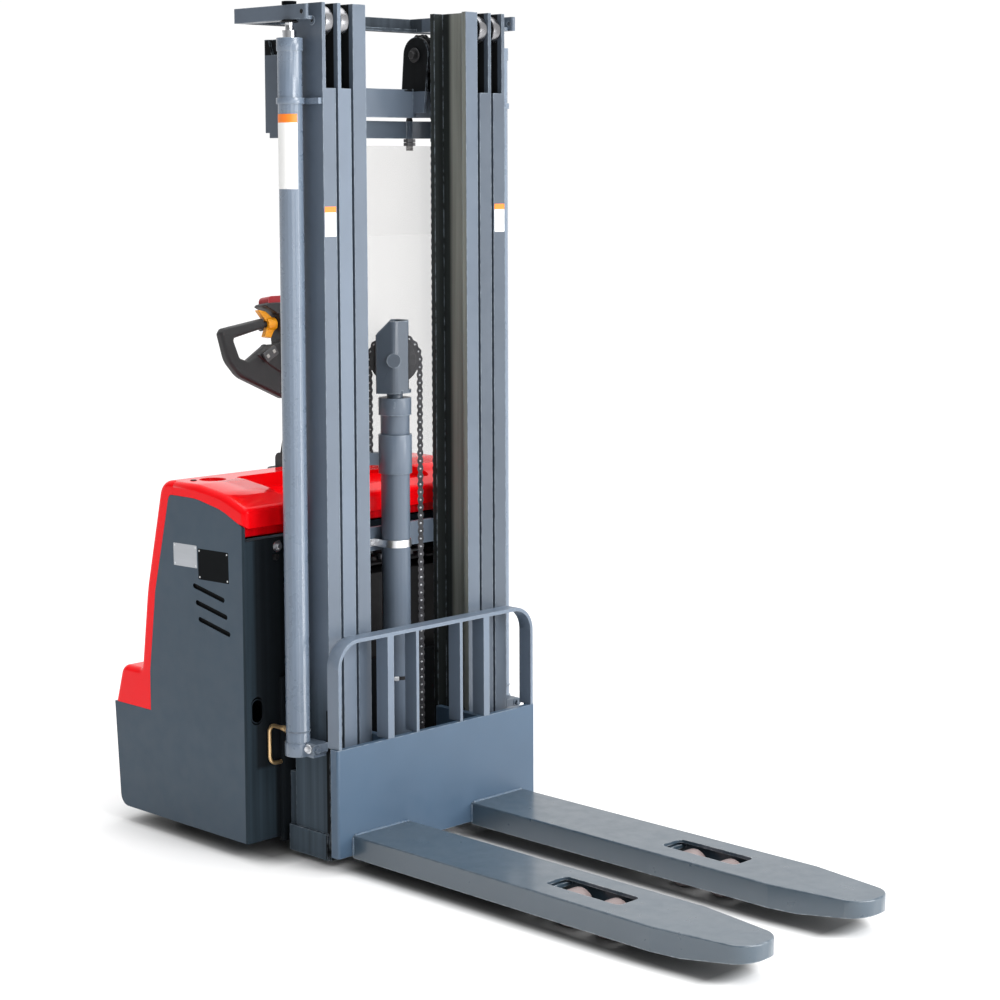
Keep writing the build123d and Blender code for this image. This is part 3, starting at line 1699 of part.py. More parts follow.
# Casters on both sides of the drive wheel
caster_fork_top = caster_plate_z - run_gap
caster_wheel_x = caster_x - caster_trail
caster_cheek = 6
caster_crown = 8
caster_lug = 18
caster_brow = 26
caster_near = caster_width / 2 + 2
with BuildPart() as caster_fork_right:
    stem_zs = (caster_fork_top - caster_crown, caster_plate_z + hanger_half)
    rod_z(caster_x, -caster_y, caster_stem_radius, stem_zs)
    block(
        (caster_wheel_x - caster_lug, caster_x + caster_brow),
        (-caster_y - caster_near - caster_cheek, -caster_y + caster_near + caster_cheek),
        (caster_fork_top - caster_crown, caster_fork_top),
    )
    for side in (-1, 1):
        ys = (-caster_y + side * caster_near, -caster_y + side * (caster_near + caster_cheek))
        block((caster_wheel_x - caster_lug, caster_x + caster_cheek), ys, (caster_radius, caster_fork_top))
        rod_y(caster_wheel_x, caster_radius, caster_lug, ys)
    axle_ys = (-caster_y - caster_near, -caster_y + caster_near)
    rod_y(caster_wheel_x, caster_radius, caster_axle_radius, axle_ys)
save_pair(caster_fork_right.part, "caster_fork")

with BuildPart() as caster_wheel_right:
    ring_y(
        caster_wheel_x,
        caster_radius,
        caster_radius,
        caster_axle_radius + bore_gap,
        (-caster_y - caster_width / 2, -caster_y + caster_width / 2),
    )
    fillet(edges().filter_by(GeomType.CIRCLE).group_by(SortBy.RADIUS)[-1], 5)
save_pair(caster_wheel_right.part, "caster_wheel")
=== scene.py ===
"""Looks of the electric stacker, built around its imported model. All lengths are in metres."""
import json
import math

import bmesh
import bpy
from mathutils import Matrix, Vector


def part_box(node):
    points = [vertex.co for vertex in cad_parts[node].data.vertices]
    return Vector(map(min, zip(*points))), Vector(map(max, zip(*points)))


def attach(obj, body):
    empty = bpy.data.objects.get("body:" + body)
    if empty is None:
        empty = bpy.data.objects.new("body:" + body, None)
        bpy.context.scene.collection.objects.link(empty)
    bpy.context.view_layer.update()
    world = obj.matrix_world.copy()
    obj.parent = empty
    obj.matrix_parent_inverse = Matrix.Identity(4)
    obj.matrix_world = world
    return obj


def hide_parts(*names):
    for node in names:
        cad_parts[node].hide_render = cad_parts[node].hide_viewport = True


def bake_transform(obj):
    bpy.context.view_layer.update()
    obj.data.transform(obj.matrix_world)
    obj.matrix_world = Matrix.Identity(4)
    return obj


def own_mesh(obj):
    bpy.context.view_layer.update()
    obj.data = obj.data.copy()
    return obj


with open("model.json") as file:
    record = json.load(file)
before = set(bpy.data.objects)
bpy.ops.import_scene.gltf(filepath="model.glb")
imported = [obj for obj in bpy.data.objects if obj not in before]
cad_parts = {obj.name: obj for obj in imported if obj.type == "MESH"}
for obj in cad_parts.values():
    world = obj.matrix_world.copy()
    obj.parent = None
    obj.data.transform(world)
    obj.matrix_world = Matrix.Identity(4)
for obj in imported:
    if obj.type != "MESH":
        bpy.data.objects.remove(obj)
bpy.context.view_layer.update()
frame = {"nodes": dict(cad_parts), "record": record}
nodes = frame["nodes"]

# Places that the pieces below share with the model
PLATE_X = -0.1875
MAST_FRONT = PLATE_X - 0.066
MAST_BACK = MAST_FRONT - 0.125
FORK_Y = 0.195
FORK_WIDTH = 0.18
FORK_TOP = 0.088
OUTER_FACE = 0.296
INNER_FACE = 0.2024
PANEL_Y = 0.4
BODY_FRONT = -0.4355
VENT_X = PLATE_X - 0.404
VENT_Z = 0.59
CYLINDER_X = MAST_FRONT - 0.068
CYLINDER_Y = 0.3355
CYLINDER_R = 0.0285
TUBE_X = -0.3403
TUBE_R = 0.0352
SHEAVE_Z = 1.183
MAST_SHEAVE = (-0.4375, 0.188, 1.924)
HEAD_ROLLER_X = -0.2877
HEAD_ROLLER_Z = 1.982
HEAD_BASE = Vector((-0.7435, 0.0, 1.062))
HEAD_TILT = math.radians(9)
SIDES = {"right": -1, "left": 1}
SHARP_ANGLE = math.radians(35)


def new_object(name, data):
    """An object in the scene."""
    thing = bpy.data.objects.new(name, data)
    bpy.context.scene.collection.objects.link(thing)
    return thing


# Mesh helpers: a solid is a list of points and a list of faces
class Shape:
    """Points and faces gathered for one piece."""

    def __init__(self):
        self.points = []
        self.faces = []
        self.tones = []

    def add(self, solid, place=Matrix(), tone=0):
        """Put a solid at a place, in one of the piece's materials."""
        points, faces = solid
        start = len(self.points)
        self.points += [place @ Vector(point) for point in points]
        self.faces += [[start + i for i in face] for face in faces]
        self.tones += [tone] * len(faces)

    def build(self, name, materials):
        """The object made of all that was added, with its faces turned outwards."""
        mesh = bpy.data.meshes.new(name)
        mesh.from_pydata(self.points, [], self.faces)
        mesh.polygons.foreach_set("material_index", self.tones)
        work = bmesh.new()
        work.from_mesh(mesh)
        bmesh.ops.recalc_face_normals(work, faces=work.faces)
        work.to_mesh(mesh)
        work.free()
        for material in materials:
            mesh.materials.append(material)
        mesh.polygons.foreach_set("use_smooth", [True] * len(mesh.polygons))
        mesh.set_sharp_from_angle(angle=SHARP_ANGLE)
        return new_object(name, mesh)

    def ride(self, name, body, slot, *materials):
        """Build the object and let it move with a body."""
        piece = self.build(name, materials)
        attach(piece, body)
        return piece


def lathe(profile, sides, closed=False):
    """A solid turned about Z from points of radius and height; a closed profile makes a ring."""
    points, rings, faces = [], [], []
    for radius, height in profile:
        count = sides if radius > 1e-6 else 1
        rings.append(range(len(points), len(points) + count))
        for k in range(count):
            angle = math.tau * k / count
            points.append((radius * math.cos(angle), radius * math.sin(angle), height))
    pairs = list(zip(rings, rings[1:]))
    if closed:
        pairs.append((rings[-1], rings[0]))
    for low, high in pairs:
        for k in range(sides):
            corners = [
                low[k % len(low)],
                low[(k + 1) % len(low)],
                high[(k + 1) % len(high)],
                high[k % len(high)],
            ]
            face = list(dict.fromkeys(corners))
            if len(face) > 2:
                faces.append(face)
    if not closed:
        faces += [list(ring) for ring in (rings[0], rings[-1]) if len(ring) > 2]
    return points, faces


def inset(outline, distance):
    """The outline moved inwards; its points run anticlockwise."""
    moved = []
    for before, here, after in zip(outline[-1:] + outline[:-1], outline, outline[1:] + outline[:1]):
        normals = []
        for a, b in ((before, here), (here, after)):
            along = Vector((b[0] - a[0], b[1] - a[1])).normalized()
            normals.append(Vector((-along.y, along.x)))
        share = max(0.3, 1.0 + normals[0].dot(normals[1]))
        moved.append(Vector(here) + (normals[0] + normals[1]) * (distance / share))
    return [tuple(point) for point in moved]


def prism(outline, low, high, bevel=0.0):
    """An outline in X and Y drawn up between two heights, with bevelled rims where asked."""
    levels = [(outline, low), (outline, high)]
    if bevel:
        small = inset(outline, bevel)
        levels = [(small, low), (outline, low + bevel), (outline, high - bevel), (small, high)]
    count = len(outline)
    points = [(x, y, z) for ring, z in levels for x, y in ring]
    faces = [list(range(count)), list(range(len(points) - count, len(points)))]
    for level in range(len(levels) - 1):
        for k in range(count):
            a, b = level * count + k, level * count + (k + 1) % count
            faces.append([a, b, b + count, a + count])
    return points, faces


def rounded(width, height, radius):
    """The outline of a rectangle with round corners, about the origin."""
    steps = 5
    outline = []
    for quarter, (sx, sy) in enumerate(((1, 1), (-1, 1), (-1, -1), (1, -1))):
        for k in range(steps + 1):
            angle = math.pi / 2 * (quarter + k / steps)
            x = sx * (width / 2 - radius) + radius * math.cos(angle)
            outline.append((x, sy * (height / 2 - radius) + radius * math.sin(angle)))
    return outline


def hexagon(width):
    """A hexagon's outline, given its width across flats."""
    reach = width / math.sqrt(3)
    turns = [math.pi / 3 * k for k in range(6)]
    return [(reach * math.cos(turn), reach * math.sin(turn)) for turn in turns]


def sweep(path, radius, sides):
    """A round bar along a path; the radius is a number, or one for each point."""
    path = [Vector(point) for point in path]
    radii = radius if isinstance(radius, list) else [radius] * len(path)
    points, faces = [], []
    across = None
    for k, point in enumerate(path):
        along = (path[min(k + 1, len(path) - 1)] - path[max(k - 1, 0)]).normalized()
        if across is None:
            across = along.orthogonal().normalized()
        across = (across - along * across.dot(along)).normalized()
        other = along.cross(across)
        for i in range(sides):
            angle = math.tau * i / sides
            points.append(point + (across * math.cos(angle) + other * math.sin(angle)) * radii[k])
    for k in range(len(path) - 1):
        for i in range(sides):
            a, b = k * sides + i, k * sides + (i + 1) % sides
            faces.append([a, b, b + sides, a + sides])
    faces += [list(range(sides)), list(range(len(points) - sides, len(points)))]
    return points, faces


def facing(place, normal, turn=0.0):
    """A place whose Z looks along the normal and whose Y stays as upright as it can."""
    ahead = Vector(normal).normalized()
    up = Vector((0, 1, 0)) if abs(ahead.z) > 0.9 else Vector((0, 0, 1))
    right = up.cross(ahead).normalized()
    axes = Matrix((right, ahead.cross(right), ahead)).transposed().to_4x4()
    return Matrix.Translation(Vector(place)) @ axes @ Matrix.Rotation(turn, 4, "Z")


def at(x, y, z):
    """A place that isn't turned."""
    return Matrix.Translation((x, y, z))


def ray(degrees):
    """A level direction, turned from X."""
    return Vector((math.cos(math.radians(degrees)), math.sin(math.radians(degrees)), 0.0))


def add_bolt(shape, place, normal, size, tone=0):
    """A hexagon head on a washer; the size is the width across flats."""
    spot = facing(place, normal, 0.2)
    rim, edge, thick = size * 0.95, size * 0.98, size * 0.12
    washer = [(0.0, 0.0), (rim, 0.0), (edge, size * 0.05), (rim, thick), (0.0, thick)]
    shape.add(lathe(washer, 24), spot, tone)
    shape.add(prism(hexagon(size), thick, size * 0.66, size * 0.07), spot, tone)


def add_weld(shape, start, end, width):
    """A rippled bead along a straight line."""
    start, end = Vector(start), Vector(end)
    count = max(4, round((end - start).length / (width * 0.3)))
    path = [start.lerp(end, k / count) for k in range(count + 1)]
    radii = [width * (0.5 + 0.07 * (k % 2) + 0.03 * math.sin(k * 1.7)) for k in range(count + 1)]
    radii[0] = radii[-1] = width * 0.25
    shape.add(sweep(path, radii, 8))


def centre_of(low, high):
    """The middle of a box."""
    return Vector([(a + b) / 2 for a, b in zip(low, high)])


def span(node, side):
    """The lowest and highest Y of the part of a node that lies on one side."""
    ys = [v.co.y for v in nodes[node].data.vertices if v.co.y * side > 0]
    return min(ys), max(ys)


# Materials
def new_material(name):
    """An empty material with its tree and its main shader."""
    material = bpy.data.materials.new(name)
    material.use_nodes = True
    tree = material.node_tree
    return material, tree, tree.nodes["Principled BSDF"]


def add_node(tree, kind, inputs):
    """A shader node with some of its sockets set."""
    node = tree.nodes.new(kind)
    for key, value in inputs.items():
        node.inputs[key].default_value = value
    return node


def maths(tree, operation, a, b=None, c=None):
    """A sum on sockets and numbers."""
    node = tree.nodes.new("ShaderNodeMath")
    node.operation = operation
    for socket, value in zip(node.inputs, (a, b, c)):
        if isinstance(value, (int, float)):
            socket.default_value = value
        elif value is not None:
            tree.links.new(value, socket)
    return node.outputs["Value"]


def noise(tree, coords, scale, detail, stretch=None):
    """Noise in the object's own space, stretched along an axis where asked."""
    source = coords
    if stretch:
        mapping = tree.nodes.new("ShaderNodeMapping")
        mapping.inputs["Scale"].default_value = stretch
        tree.links.new(coords, mapping.inputs["Vector"])
        source = mapping.outputs["Vector"]
    node = add_node(tree, "ShaderNodeTexNoise", {"Scale": scale, "Detail": detail})
    tree.links.new(source, node.inputs["Vector"])
    return node.outputs["Fac"]


def remap(tree, value, low, high, new_low=0.0, new_high=1.0):
    """Map one range of a value onto another, without overshoot."""
    ends = {"From Min": low, "From Max": high, "To Min": new_low, "To Max": new_high}
    node = add_node(tree, "ShaderNodeMapRange", ends)
    tree.links.new(value, node.inputs["Value"])
    return node.outputs["Result"]


def mix_colour(tree, factor, a, b):
    """Mix two colours, each a tuple or a socket."""
    node = tree.nodes.new("ShaderNodeMix")
    node.data_type = "RGBA"
    tree.links.new(factor, node.inputs[0])
    for socket, value in ((node.inputs[6], a), (node.inputs[7], b)):
        if isinstance(value, tuple):
            socket.default_value = (*value, 1.0)
        else:
            tree.links.new(value, socket)
    return node.outputs[2]


def shade(colour, factor):
    """A lighter or darker form of a colour."""
    return tuple(min(1.0, c * factor) for c in colour)


def within(tree, coords, low, high, soft=0.0003):
    """1 inside a box that lies alike on both sides of the truck, fading to 0 just outside it."""
    parts = tree.nodes.new("ShaderNodeSeparateXYZ")
    tree.links.new(coords, parts.inputs["Vector"])
    x, y, z = parts.outputs
    inside = None
    for value, a, b in zip((x, maths(tree, "ABSOLUTE", y), z), low, high):
        away = maths(tree, "ABSOLUTE", maths(tree, "SUBTRACT", value, (a + b) / 2))
        hit = remap(tree, away, (b - a) / 2, (b - a) / 2 + soft, 1.0, 0.0)
        inside = hit if inside is None else maths(tree, "MULTIPLY", inside, hit)
    return inside


EDGE_WIDTH = 0.004
GRAIN_DEPTH = 0.0004
DUST = (0.3, 0.3, 0.29)


def surface(
    name, colour, rough=(0.35, 0.5),
    metal=0.0, vary=0.06, patch=7.0, grain=900.0, bump=0.08,
    stretch=None, coat=0.0, edge=None, stains_and_shade=(),
    stain_and_shade_rough=0.7, specular=0.5, tint=(1.0, 1.0, 1.0), dust=0.0,
):
    """Blotches of tone, uneven gloss and a fine grain; worn edges, stains, painted shade and dust
    where asked.
    """
    material, tree, shader = new_material(name)
    link = tree.links.new
    coords = tree.nodes.new("ShaderNodeTexCoord").outputs["Object"]
    blotch = remap(tree, noise(tree, coords, patch, 4.0, stretch), 0.3, 0.7)
    tone = mix_colour(tree, blotch, shade(colour, 1.0 - vary), shade(colour, 1.0 + vary))
    stained_and_shaded = None
    # Stains and painted shade: each lays its own streaky tone over its box
    for stain_and_shade_tone, low, high, *soft in stains_and_shade:
        streak = remap(tree, noise(tree, coords, 60.0, 4.0, (1.0, 1.0, 0.02)), 0.3, 0.7)
        grease_and_shade = mix_colour(tree, streak, shade(stain_and_shade_tone, 0.75), shade(stain_and_shade_tone, 1.25))
        mask = within(tree, coords, low, high, *soft)
        tone = mix_colour(tree, mask, tone, grease_and_shade)
        stained_and_shaded = mask if stained_and_shaded is None else maths(tree, "MAXIMUM", stained_and_shaded, mask)
    geometry = tree.nodes.new("ShaderNodeNewGeometry")
    if edge:
        bevel = tree.nodes.new("ShaderNodeBevel")
        bevel.samples = 4
        bevel.inputs["Radius"].default_value = EDGE_WIDTH
        dot = tree.nodes.new("ShaderNodeVectorMath")
        dot.operation = "DOT_PRODUCT"
        link(bevel.outputs["Normal"], dot.inputs[0])
        link(geometry.outputs["Normal"], dot.inputs[1])
        worn = remap(tree, dot.outputs["Value"], 0.995, 0.9)
        rub = remap(tree, noise(tree, coords, 60.0, 5.0), 0.38, 0.62)
        tone = mix_colour(tree, maths(tree, "MULTIPLY", worn, rub), tone, edge)
    if dust:
        up = tree.nodes.new("ShaderNodeSeparateXYZ")
        link(geometry.outputs["Normal"], up.inputs["Vector"])
        settled = remap(tree, up.outputs["Z"], 0.6, 1.0, 0.0, dust)
        patchy = remap(tree, noise(tree, coords, 25.0, 5.0), 0.35, 0.65)
        tone = mix_colour(tree, maths(tree, "MULTIPLY", settled, patchy), tone, DUST)
    link(tone, shader.inputs["Base Color"])
    gloss = remap(tree, noise(tree, coords, patch * 4.0, 5.0, stretch), 0.3, 0.7, *rough)
    if stains_and_shade:
        change = maths(tree, "SUBTRACT", stain_and_shade_rough, gloss)
        gloss = maths(tree, "MULTIPLY_ADD", stained_and_shaded, change, gloss)
    link(gloss, shader.inputs["Roughness"])
    bumps = add_node(tree, "ShaderNodeBump", {"Strength": bump, "Distance": GRAIN_DEPTH})
    link(noise(tree, coords, grain, 2.0, stretch), bumps.inputs["Height"])
    link(bumps.outputs["Normal"], shader.inputs["Normal"])
    shader.inputs["Metallic"].default_value = metal
    shader.inputs["Coat Weight"].default_value = coat
    shader.inputs["Coat Roughness"].default_value = 0.15
    shader.inputs["Specular IOR Level"].default_value = specular
    shader.inputs["Specular Tint"].default_value = (*tint, 1.0)
    if stains_and_shade:
        dull = maths(tree, "MULTIPLY_ADD", stained_and_shaded, -0.8 * specular, specular)
        link(dull, shader.inputs["Specular IOR Level"])
    return material


GREY = (0.087, 0.112, 0.148)
WORN = (0.2, 0.24, 0.28)
NEAR_BLACK = (0.004, 0.005, 0.006)
# Grease and painted shade inside the rails' channels
LANE_GREASE_AND_SHADE = (0.01, 0.011, 0.012)
TRACK_WEAR = (0.2, 0.21, 0.19)
# Painted shadow at the back of the inner rails' track
TRACK_BACK_SHADE = (0.02, 0.024, 0.024)
FOOT_SHADE = (0.055, 0.074, 0.094)
BOW_SHADE = (0.04, 0.05, 0.062)
CORNER_SHADE = (0.009, 0.012, 0.015)
RETURN_SHADE = (0.021, 0.032, 0.042)
# Darker red for the painted shadow under the lid's lip
BAND_SHADOW_RED = (0.5, 0.001, 0.004)
FLANGE = 0.0142
SKIN = 0.0005
RETURN_BACK = BODY_FRONT - 0.006
RETURN_FRONT = BODY_FRONT + 0.0015
RETURN_TOP = 0.86

# A stain, or a patch of painted shade, is a tone, the lowest and highest corners of its box and,
# if it ends softly, over what length. The box counts for both sides of the truck, and -1, 1 and 3
# lie beyond the truck.
# Inside the rails' channels: grease, darkened further with painted shade
greasy_shaded_lane = (LANE_GREASE_AND_SHADE, (MAST_BACK + FLANGE, 0.0, -1.0), (MAST_FRONT - FLANGE, OUTER_FACE - SKIN, 3.0))
rail_foot = (FOOT_SHADE, (-1.0, 0.0, -1.0), (1.0, 1.0, 0.36), 0.12)
# Painted shadow on the outer rails' fronts behind the carriage plate
shadow_behind_plate = (NEAR_BLACK, (MAST_FRONT - 0.012, 0.0, -1.0), (1.0, 1.0, 0.375))
track = (TRACK_WEAR, (MAST_BACK + SKIN, 0.0, -1.0), (MAST_FRONT - 0.0008, INNER_FACE - SKIN, 3.0))
track_end = (MAST_BACK + 0.034, INNER_FACE - SKIN, 3.0)
# Painted shadow of the chain at the back of the inner rails' greasy track
shaded_track_back = (TRACK_BACK_SHADE, (MAST_BACK, 0.0, -1.0), track_end, 0.015)
sheave_bracket = (NEAR_BLACK, (-0.52, 0.14, 1.835), (-0.385, 0.24, 1.979))
bow_back = (BOW_SHADE, (-0.6, 0.0, 1.98), (-0.46, 0.31, 2.03))
# Painted shade: the pocket in the beam's side plate is painted near black
shaded_beam_pocket = (NEAR_BLACK, (-0.4575, 0.28, 1.909), (-0.3785, 0.297, 1.9445))
rod_cap = (NEAR_BLACK, (-1.0, 0.0, 1.9765), (1.0, 1.0, 3.0))
# Painted shade: the wall seen through the panels' slots is painted near black
shaded_slot_inside = (NEAR_BLACK, (-0.66, 0.3, 0.52), (-0.48, PANEL_Y - 0.0006, 0.665))
front_return = (RETURN_SHADE, (RETURN_BACK, 0.0, -1.0), (RETURN_FRONT, 1.0, RETURN_TOP), 0.002)
behind_cylinder = (CORNER_SHADE, (RETURN_BACK, 0.0, 0.222), (RETURN_FRONT, 0.364, RETURN_TOP), 0.01)
behind_rail = (CORNER_SHADE, (RETURN_BACK, 0.0, -1.0), (RETURN_FRONT, 0.306, RETURN_TOP), 0.01)
front_plate = (CORNER_SHADE, (BODY_FRONT + 0.001, 0.0, -1.0), (-0.42, 1.0, 3.0))
# Painted shadow of the lid's lip on the band below it
lid_band_shadow = (BAND_SHADOW_RED, (-0.4425, 0.0, 0.768), (-0.4405, 1.0, 0.8005))


def satin(name, factor, *stains_and_shade):
    """The mast's grey paint, lighter or darker, with its stains and painted shade."""
    colour = shade(GREY, factor)
    return surface(name, colour, (0.3, 0.44), vary=0.06, bump=0.1, edge=WORN, stains_and_shade=stains_and_shade)


paint = satin("mast_paint", 1.0)
outer_paint = satin("outer_rail_paint", 1.0, rail_foot, greasy_shaded_lane, shadow_behind_plate)
# The right middle rail is painted lighter and the left rails darker: painted light and shade on one
# paint
lit_middle_paint = satin("middle_rail_lit_paint", 1.25, greasy_shaded_lane)
shaded_far_paint = satin("far_rail_shaded_paint", 0.7, greasy_shaded_lane)
track_paint = satin("track_paint", 1.0, greasy_shaded_lane, track, shaded_track_back)
backrest_paint = satin("backrest_paint", 1.4)
bracket_paint = satin("bracket_paint", 1.0, sheave_bracket, bow_back)
beam_paint = satin("beam_paint", 0.76, shaded_beam_pocket)
chassis_paint = surface(
    "chassis_paint", (0.042, 0.067, 0.094), (0.34, 0.48), stains_and_shade=[front_plate, shaded_slot_inside]
)
tube_paint = satin("tube_paint", 1.1)
yoke_paint = satin("yoke_paint", 0.6)
# A lighter copy of the mast's grey: painted light for the cylinders' broad highlight
lit_cylinder_paint = surface(
    "lit_cylinder_paint", shade(GREY, 1.5), (0.24, 0.34),
    vary=0.05, bump=0.08, edge=WORN, specular=0.6, coat=0.2,
)
# The carriage plate and forks are darker, bluer copies of the mast's grey: painted shade
shaded_plate_paint = surface(
    "shaded_plate_paint", (0.056, 0.095, 0.148), (0.34, 0.48),
    vary=0.05, bump=0.1, edge=WORN, specular=0.4,
)
shaded_fork_paint = surface(
    "shaded_fork_paint", (0.042, 0.067, 0.092), (0.27, 0.39),
    vary=0.05, bump=0.12, edge=(0.34, 0.37, 0.4), dust=0.04, specular=0.7, coat=0.35,
)
panel_paint = surface(
    "panel_paint", (0.039, 0.064, 0.092), (0.45, 0.58),
    vary=0.04, bump=0.22, grain=650.0, specular=0.35,
    stains_and_shade=[shaded_slot_inside, front_return, behind_cylinder, behind_rail],
)
red_plastic = surface(
    "hood_red", (0.86, 0.002, 0.005), (0.09, 0.15),
    vary=0.015, bump=0.02, specular=0.25, tint=(1.0, 0.3, 0.38), stains_and_shade=[lid_band_shadow],
    stain_and_shade_rough=0.4,
)
black_plastic = surface(
    "tiller_black", (0.013, 0.013, 0.015), (0.42, 0.58), vary=0.15, bump=0.35, grain=1100.0
)
dark_plastic = surface(
    "dark_plastic", (0.006, 0.006, 0.007), (0.55, 0.7), vary=0.2, bump=0.2, specular=0.25
)
rubber = surface("rubber", (0.014, 0.014, 0.015), (0.6, 0.8), vary=0.2, bump=0.3, specular=0.3)
steel = surface(
    "bright_steel", (0.55, 0.56, 0.58), (0.22, 0.38),
    metal=1.0, vary=0.08, bump=0.06, stretch=(1, 1, 6),
)
roller_steel = surface(
    "roller_steel", (0.24, 0.24, 0.25), (0.2, 0.32), metal=1.0, vary=0.1, bump=0.06
)
zinc = surface(
    "zinc_plate", (0.66, 0.67, 0.69), (0.26, 0.4), metal=1.0, vary=0.1, patch=30.0, bump=0.08
)
chrome = surface(
    "chromed_rod", (0.62, 0.63, 0.65), (0.08, 0.16),
    metal=1.0, vary=0.03, bump=0.02, stains_and_shade=[rod_cap],
)
chain_steel = surface(
    "chain_steel", (0.03, 0.03, 0.032), (0.35, 0.55), metal=0.6, vary=0.35, patch=40.0, bump=0.15
)
lift_steel = surface(
    "lift_chain_steel", (0.055, 0.055, 0.06), (0.3, 0.5), metal=0.7, vary=0.3, patch=40.0, bump=0.15
)
pin_steel = surface(
    "chain_pin", (0.42, 0.43, 0.45), (0.22, 0.36), metal=1.0, vary=0.15, patch=60.0, bump=0.05
)
dark_pin = surface(
    "dark_pin", (0.09, 0.09, 0.095), (0.3, 0.45), metal=0.9, vary=0.15, patch=60.0, bump=0.05
)
cast_iron = surface(
    "cast_housing", (0.03, 0.03, 0.033), (0.45, 0.65), vary=0.2, bump=0.4, grain=350.0, metal=0.2
)
aluminium = surface(
    "bare_aluminium", (0.55, 0.56, 0.58), (0.35, 0.5), metal=1.0, vary=0.06, stretch=(1, 12, 1)
)
name_plate = surface(
    "brushed_plate", (0.42, 0.44, 0.47), (0.32, 0.46), metal=0.6, vary=0.05, stretch=(1, 1, 14)
)
black_plate = surface("black_plate", NEAR_BLACK, (0.3, 0.45), vary=0.1, bump=0.03, specular=0.03)
brass = surface("pipe_metal", (0.7, 0.48, 0.25), (0.28, 0.42), metal=0.85, vary=0.12, bump=0.06)
tread = surface("wheel_tread", (0.03, 0.03, 0.032), (0.55, 0.75), vary=0.2, bump=0.3)
roller_tread = surface(
    "roller_tread", (0.22, 0.175, 0.172), (0.38, 0.55), vary=0.12, patch=25.0, bump=0.15
)
yellow = surface("paddle_yellow", (0.86, 0.34, 0.01), (0.3, 0.42), vary=0.06, bump=0.12)
button_red = surface("button_red", (0.3, 0.012, 0.018), (0.28, 0.4), vary=0.08, bump=0.1)
button_grey = surface("button_grey", (0.055, 0.056, 0.06), (0.4, 0.55), vary=0.1, bump=0.15)
pale_grey = surface("pale_grey", (0.36, 0.36, 0.34), (0.4, 0.55), vary=0.08, bump=0.1)
lead = surface("lead", (0.3, 0.31, 0.33), (0.4, 0.6), metal=0.8, vary=0.12, patch=40.0, bump=0.15)
label_white = surface("label_white", (0.8, 0.8, 0.79), (0.35, 0.45), vary=0.02, bump=0.02)
label_orange = surface("label_orange", (0.87, 0.2, 0.015), (0.35, 0.45), vary=0.03, bump=0.02)


def clear_sheet():
    """A clear plastic sheet with a slight haze of dust."""
    material, tree, shader = new_material("clear_guard")
    coords = tree.nodes.new("ShaderNodeTexCoord").outputs["Object"]
    haze = remap(tree, noise(tree, coords, 9.0, 5.0), 0.35, 0.7)
    tone = mix_colour(tree, haze, (0.3, 0.29, 0.28), (0.26, 0.25, 0.245))
    tree.links.new(tone, shader.inputs["Base Color"])
    tree.links.new(remap(tree, haze, 0.0, 1.0, 0.05, 0.14), shader.inputs["Roughness"])
    shader.inputs["Alpha"].default_value = 0.2
    shader.inputs["IOR"].default_value = 1.45
    return material


SLOT_MATERIALS = {
    "frame_paint": paint,
    "panel_paint": panel_paint,
    "hood_red": red_plastic,
    "black_plastic": black_plastic,
    "cast_housing": cast_iron,
    "bare_aluminium": aluminium,
    "clear_guard": clear_sheet(),
    "pipe_metal": brass,
    "bright_steel": steel,
    "chromed_rod": chrome,
    "chain_steel": chain_steel,
    "wheel_tread": tread,
    "roller_plastic": roller_tread,
    "paddle_yellow": yellow,
    "button_red": button_red,
    "button_grey": button_grey,
}
NODE_MATERIALS = {
    "outer_rail_right": outer_paint,
    "outer_rail_left": shaded_far_paint,
    "middle_rail_right": lit_middle_paint,
    "middle_rail_left": shaded_far_paint,
    "middle_cross_beams": bracket_paint,
    "outer_cross_beam": beam_paint,
    "chassis_frame": chassis_paint,
    "carriage_plate": shaded_plate_paint,
    "free_lift_cylinder": tube_paint,
    "sheave_yoke": yoke_paint,
    "load_backrest": backrest_paint,
    "chain_anchor_bolts": dark_pin,
    "battery_pack": dark_plastic,
}
for side in SIDES:
    NODE_MATERIALS["inner_rail_" + side] = track_paint
    NODE_MATERIALS["lift_cylinder_" + side] = lit_cylinder_paint
    NODE_MATERIALS["fork_" + side] = shaded_fork_paint
    NODE_MATERIALS["support_leg_" + side] = shaded_fork_paint
SOFT_EDGES = {
    "rear_cover": 0.0012,
    "battery_lid": 0.0012,
    "fork_right": 0.0035,
    "fork_left": 0.0035,
    "mast_guard": 0.0004,
    "hydraulic_pipes": 0.0003,
}
MOULDED = ("tiller_head", "thumb_paddles", "belly_button", "lift_rocker")


def soften_edges(node, width):
    """Small bevels on a node's sharp edges."""
    bevel = node.modifiers.new("bevel", "BEVEL")
    bevel.width = width
    bevel.segments = 2
    bevel.limit_method = "ANGLE"
    bevel.angle_limit = SHARP_ANGLE
    bevel.harden_normals = True
    bevel.use_clamp_overlap = True


def mould(node, voxel):
    """Melt a node's edges as a mould does."""
    remesh = node.modifiers.new("remesh", "REMESH")
    remesh.mode = "VOXEL"
    remesh.voxel_size = voxel
    remesh.use_smooth_shade = True
    smooth = node.modifiers.new("smooth", "SMOOTH")
    smooth.factor = 0.5
    smooth.iterations = 8


for entry in frame["record"]["subparts"]:
    name = entry["node"]
    node = nodes[name]
    node.data.materials.clear()
    node.data.materials.append(NODE_MATERIALS.get(name, SLOT_MATERIALS[entry["material_slot"]]))
    weld = node.modifiers.new("weld", "WELD")
    weld.merge_threshold = 0.00002
    if name in MOULDED:
        mould(node, 0.0016 if name == "tiller_head" else 0.001)
    else:
        soften_edges(node, SOFT_EDGES.get(name, 0.001))


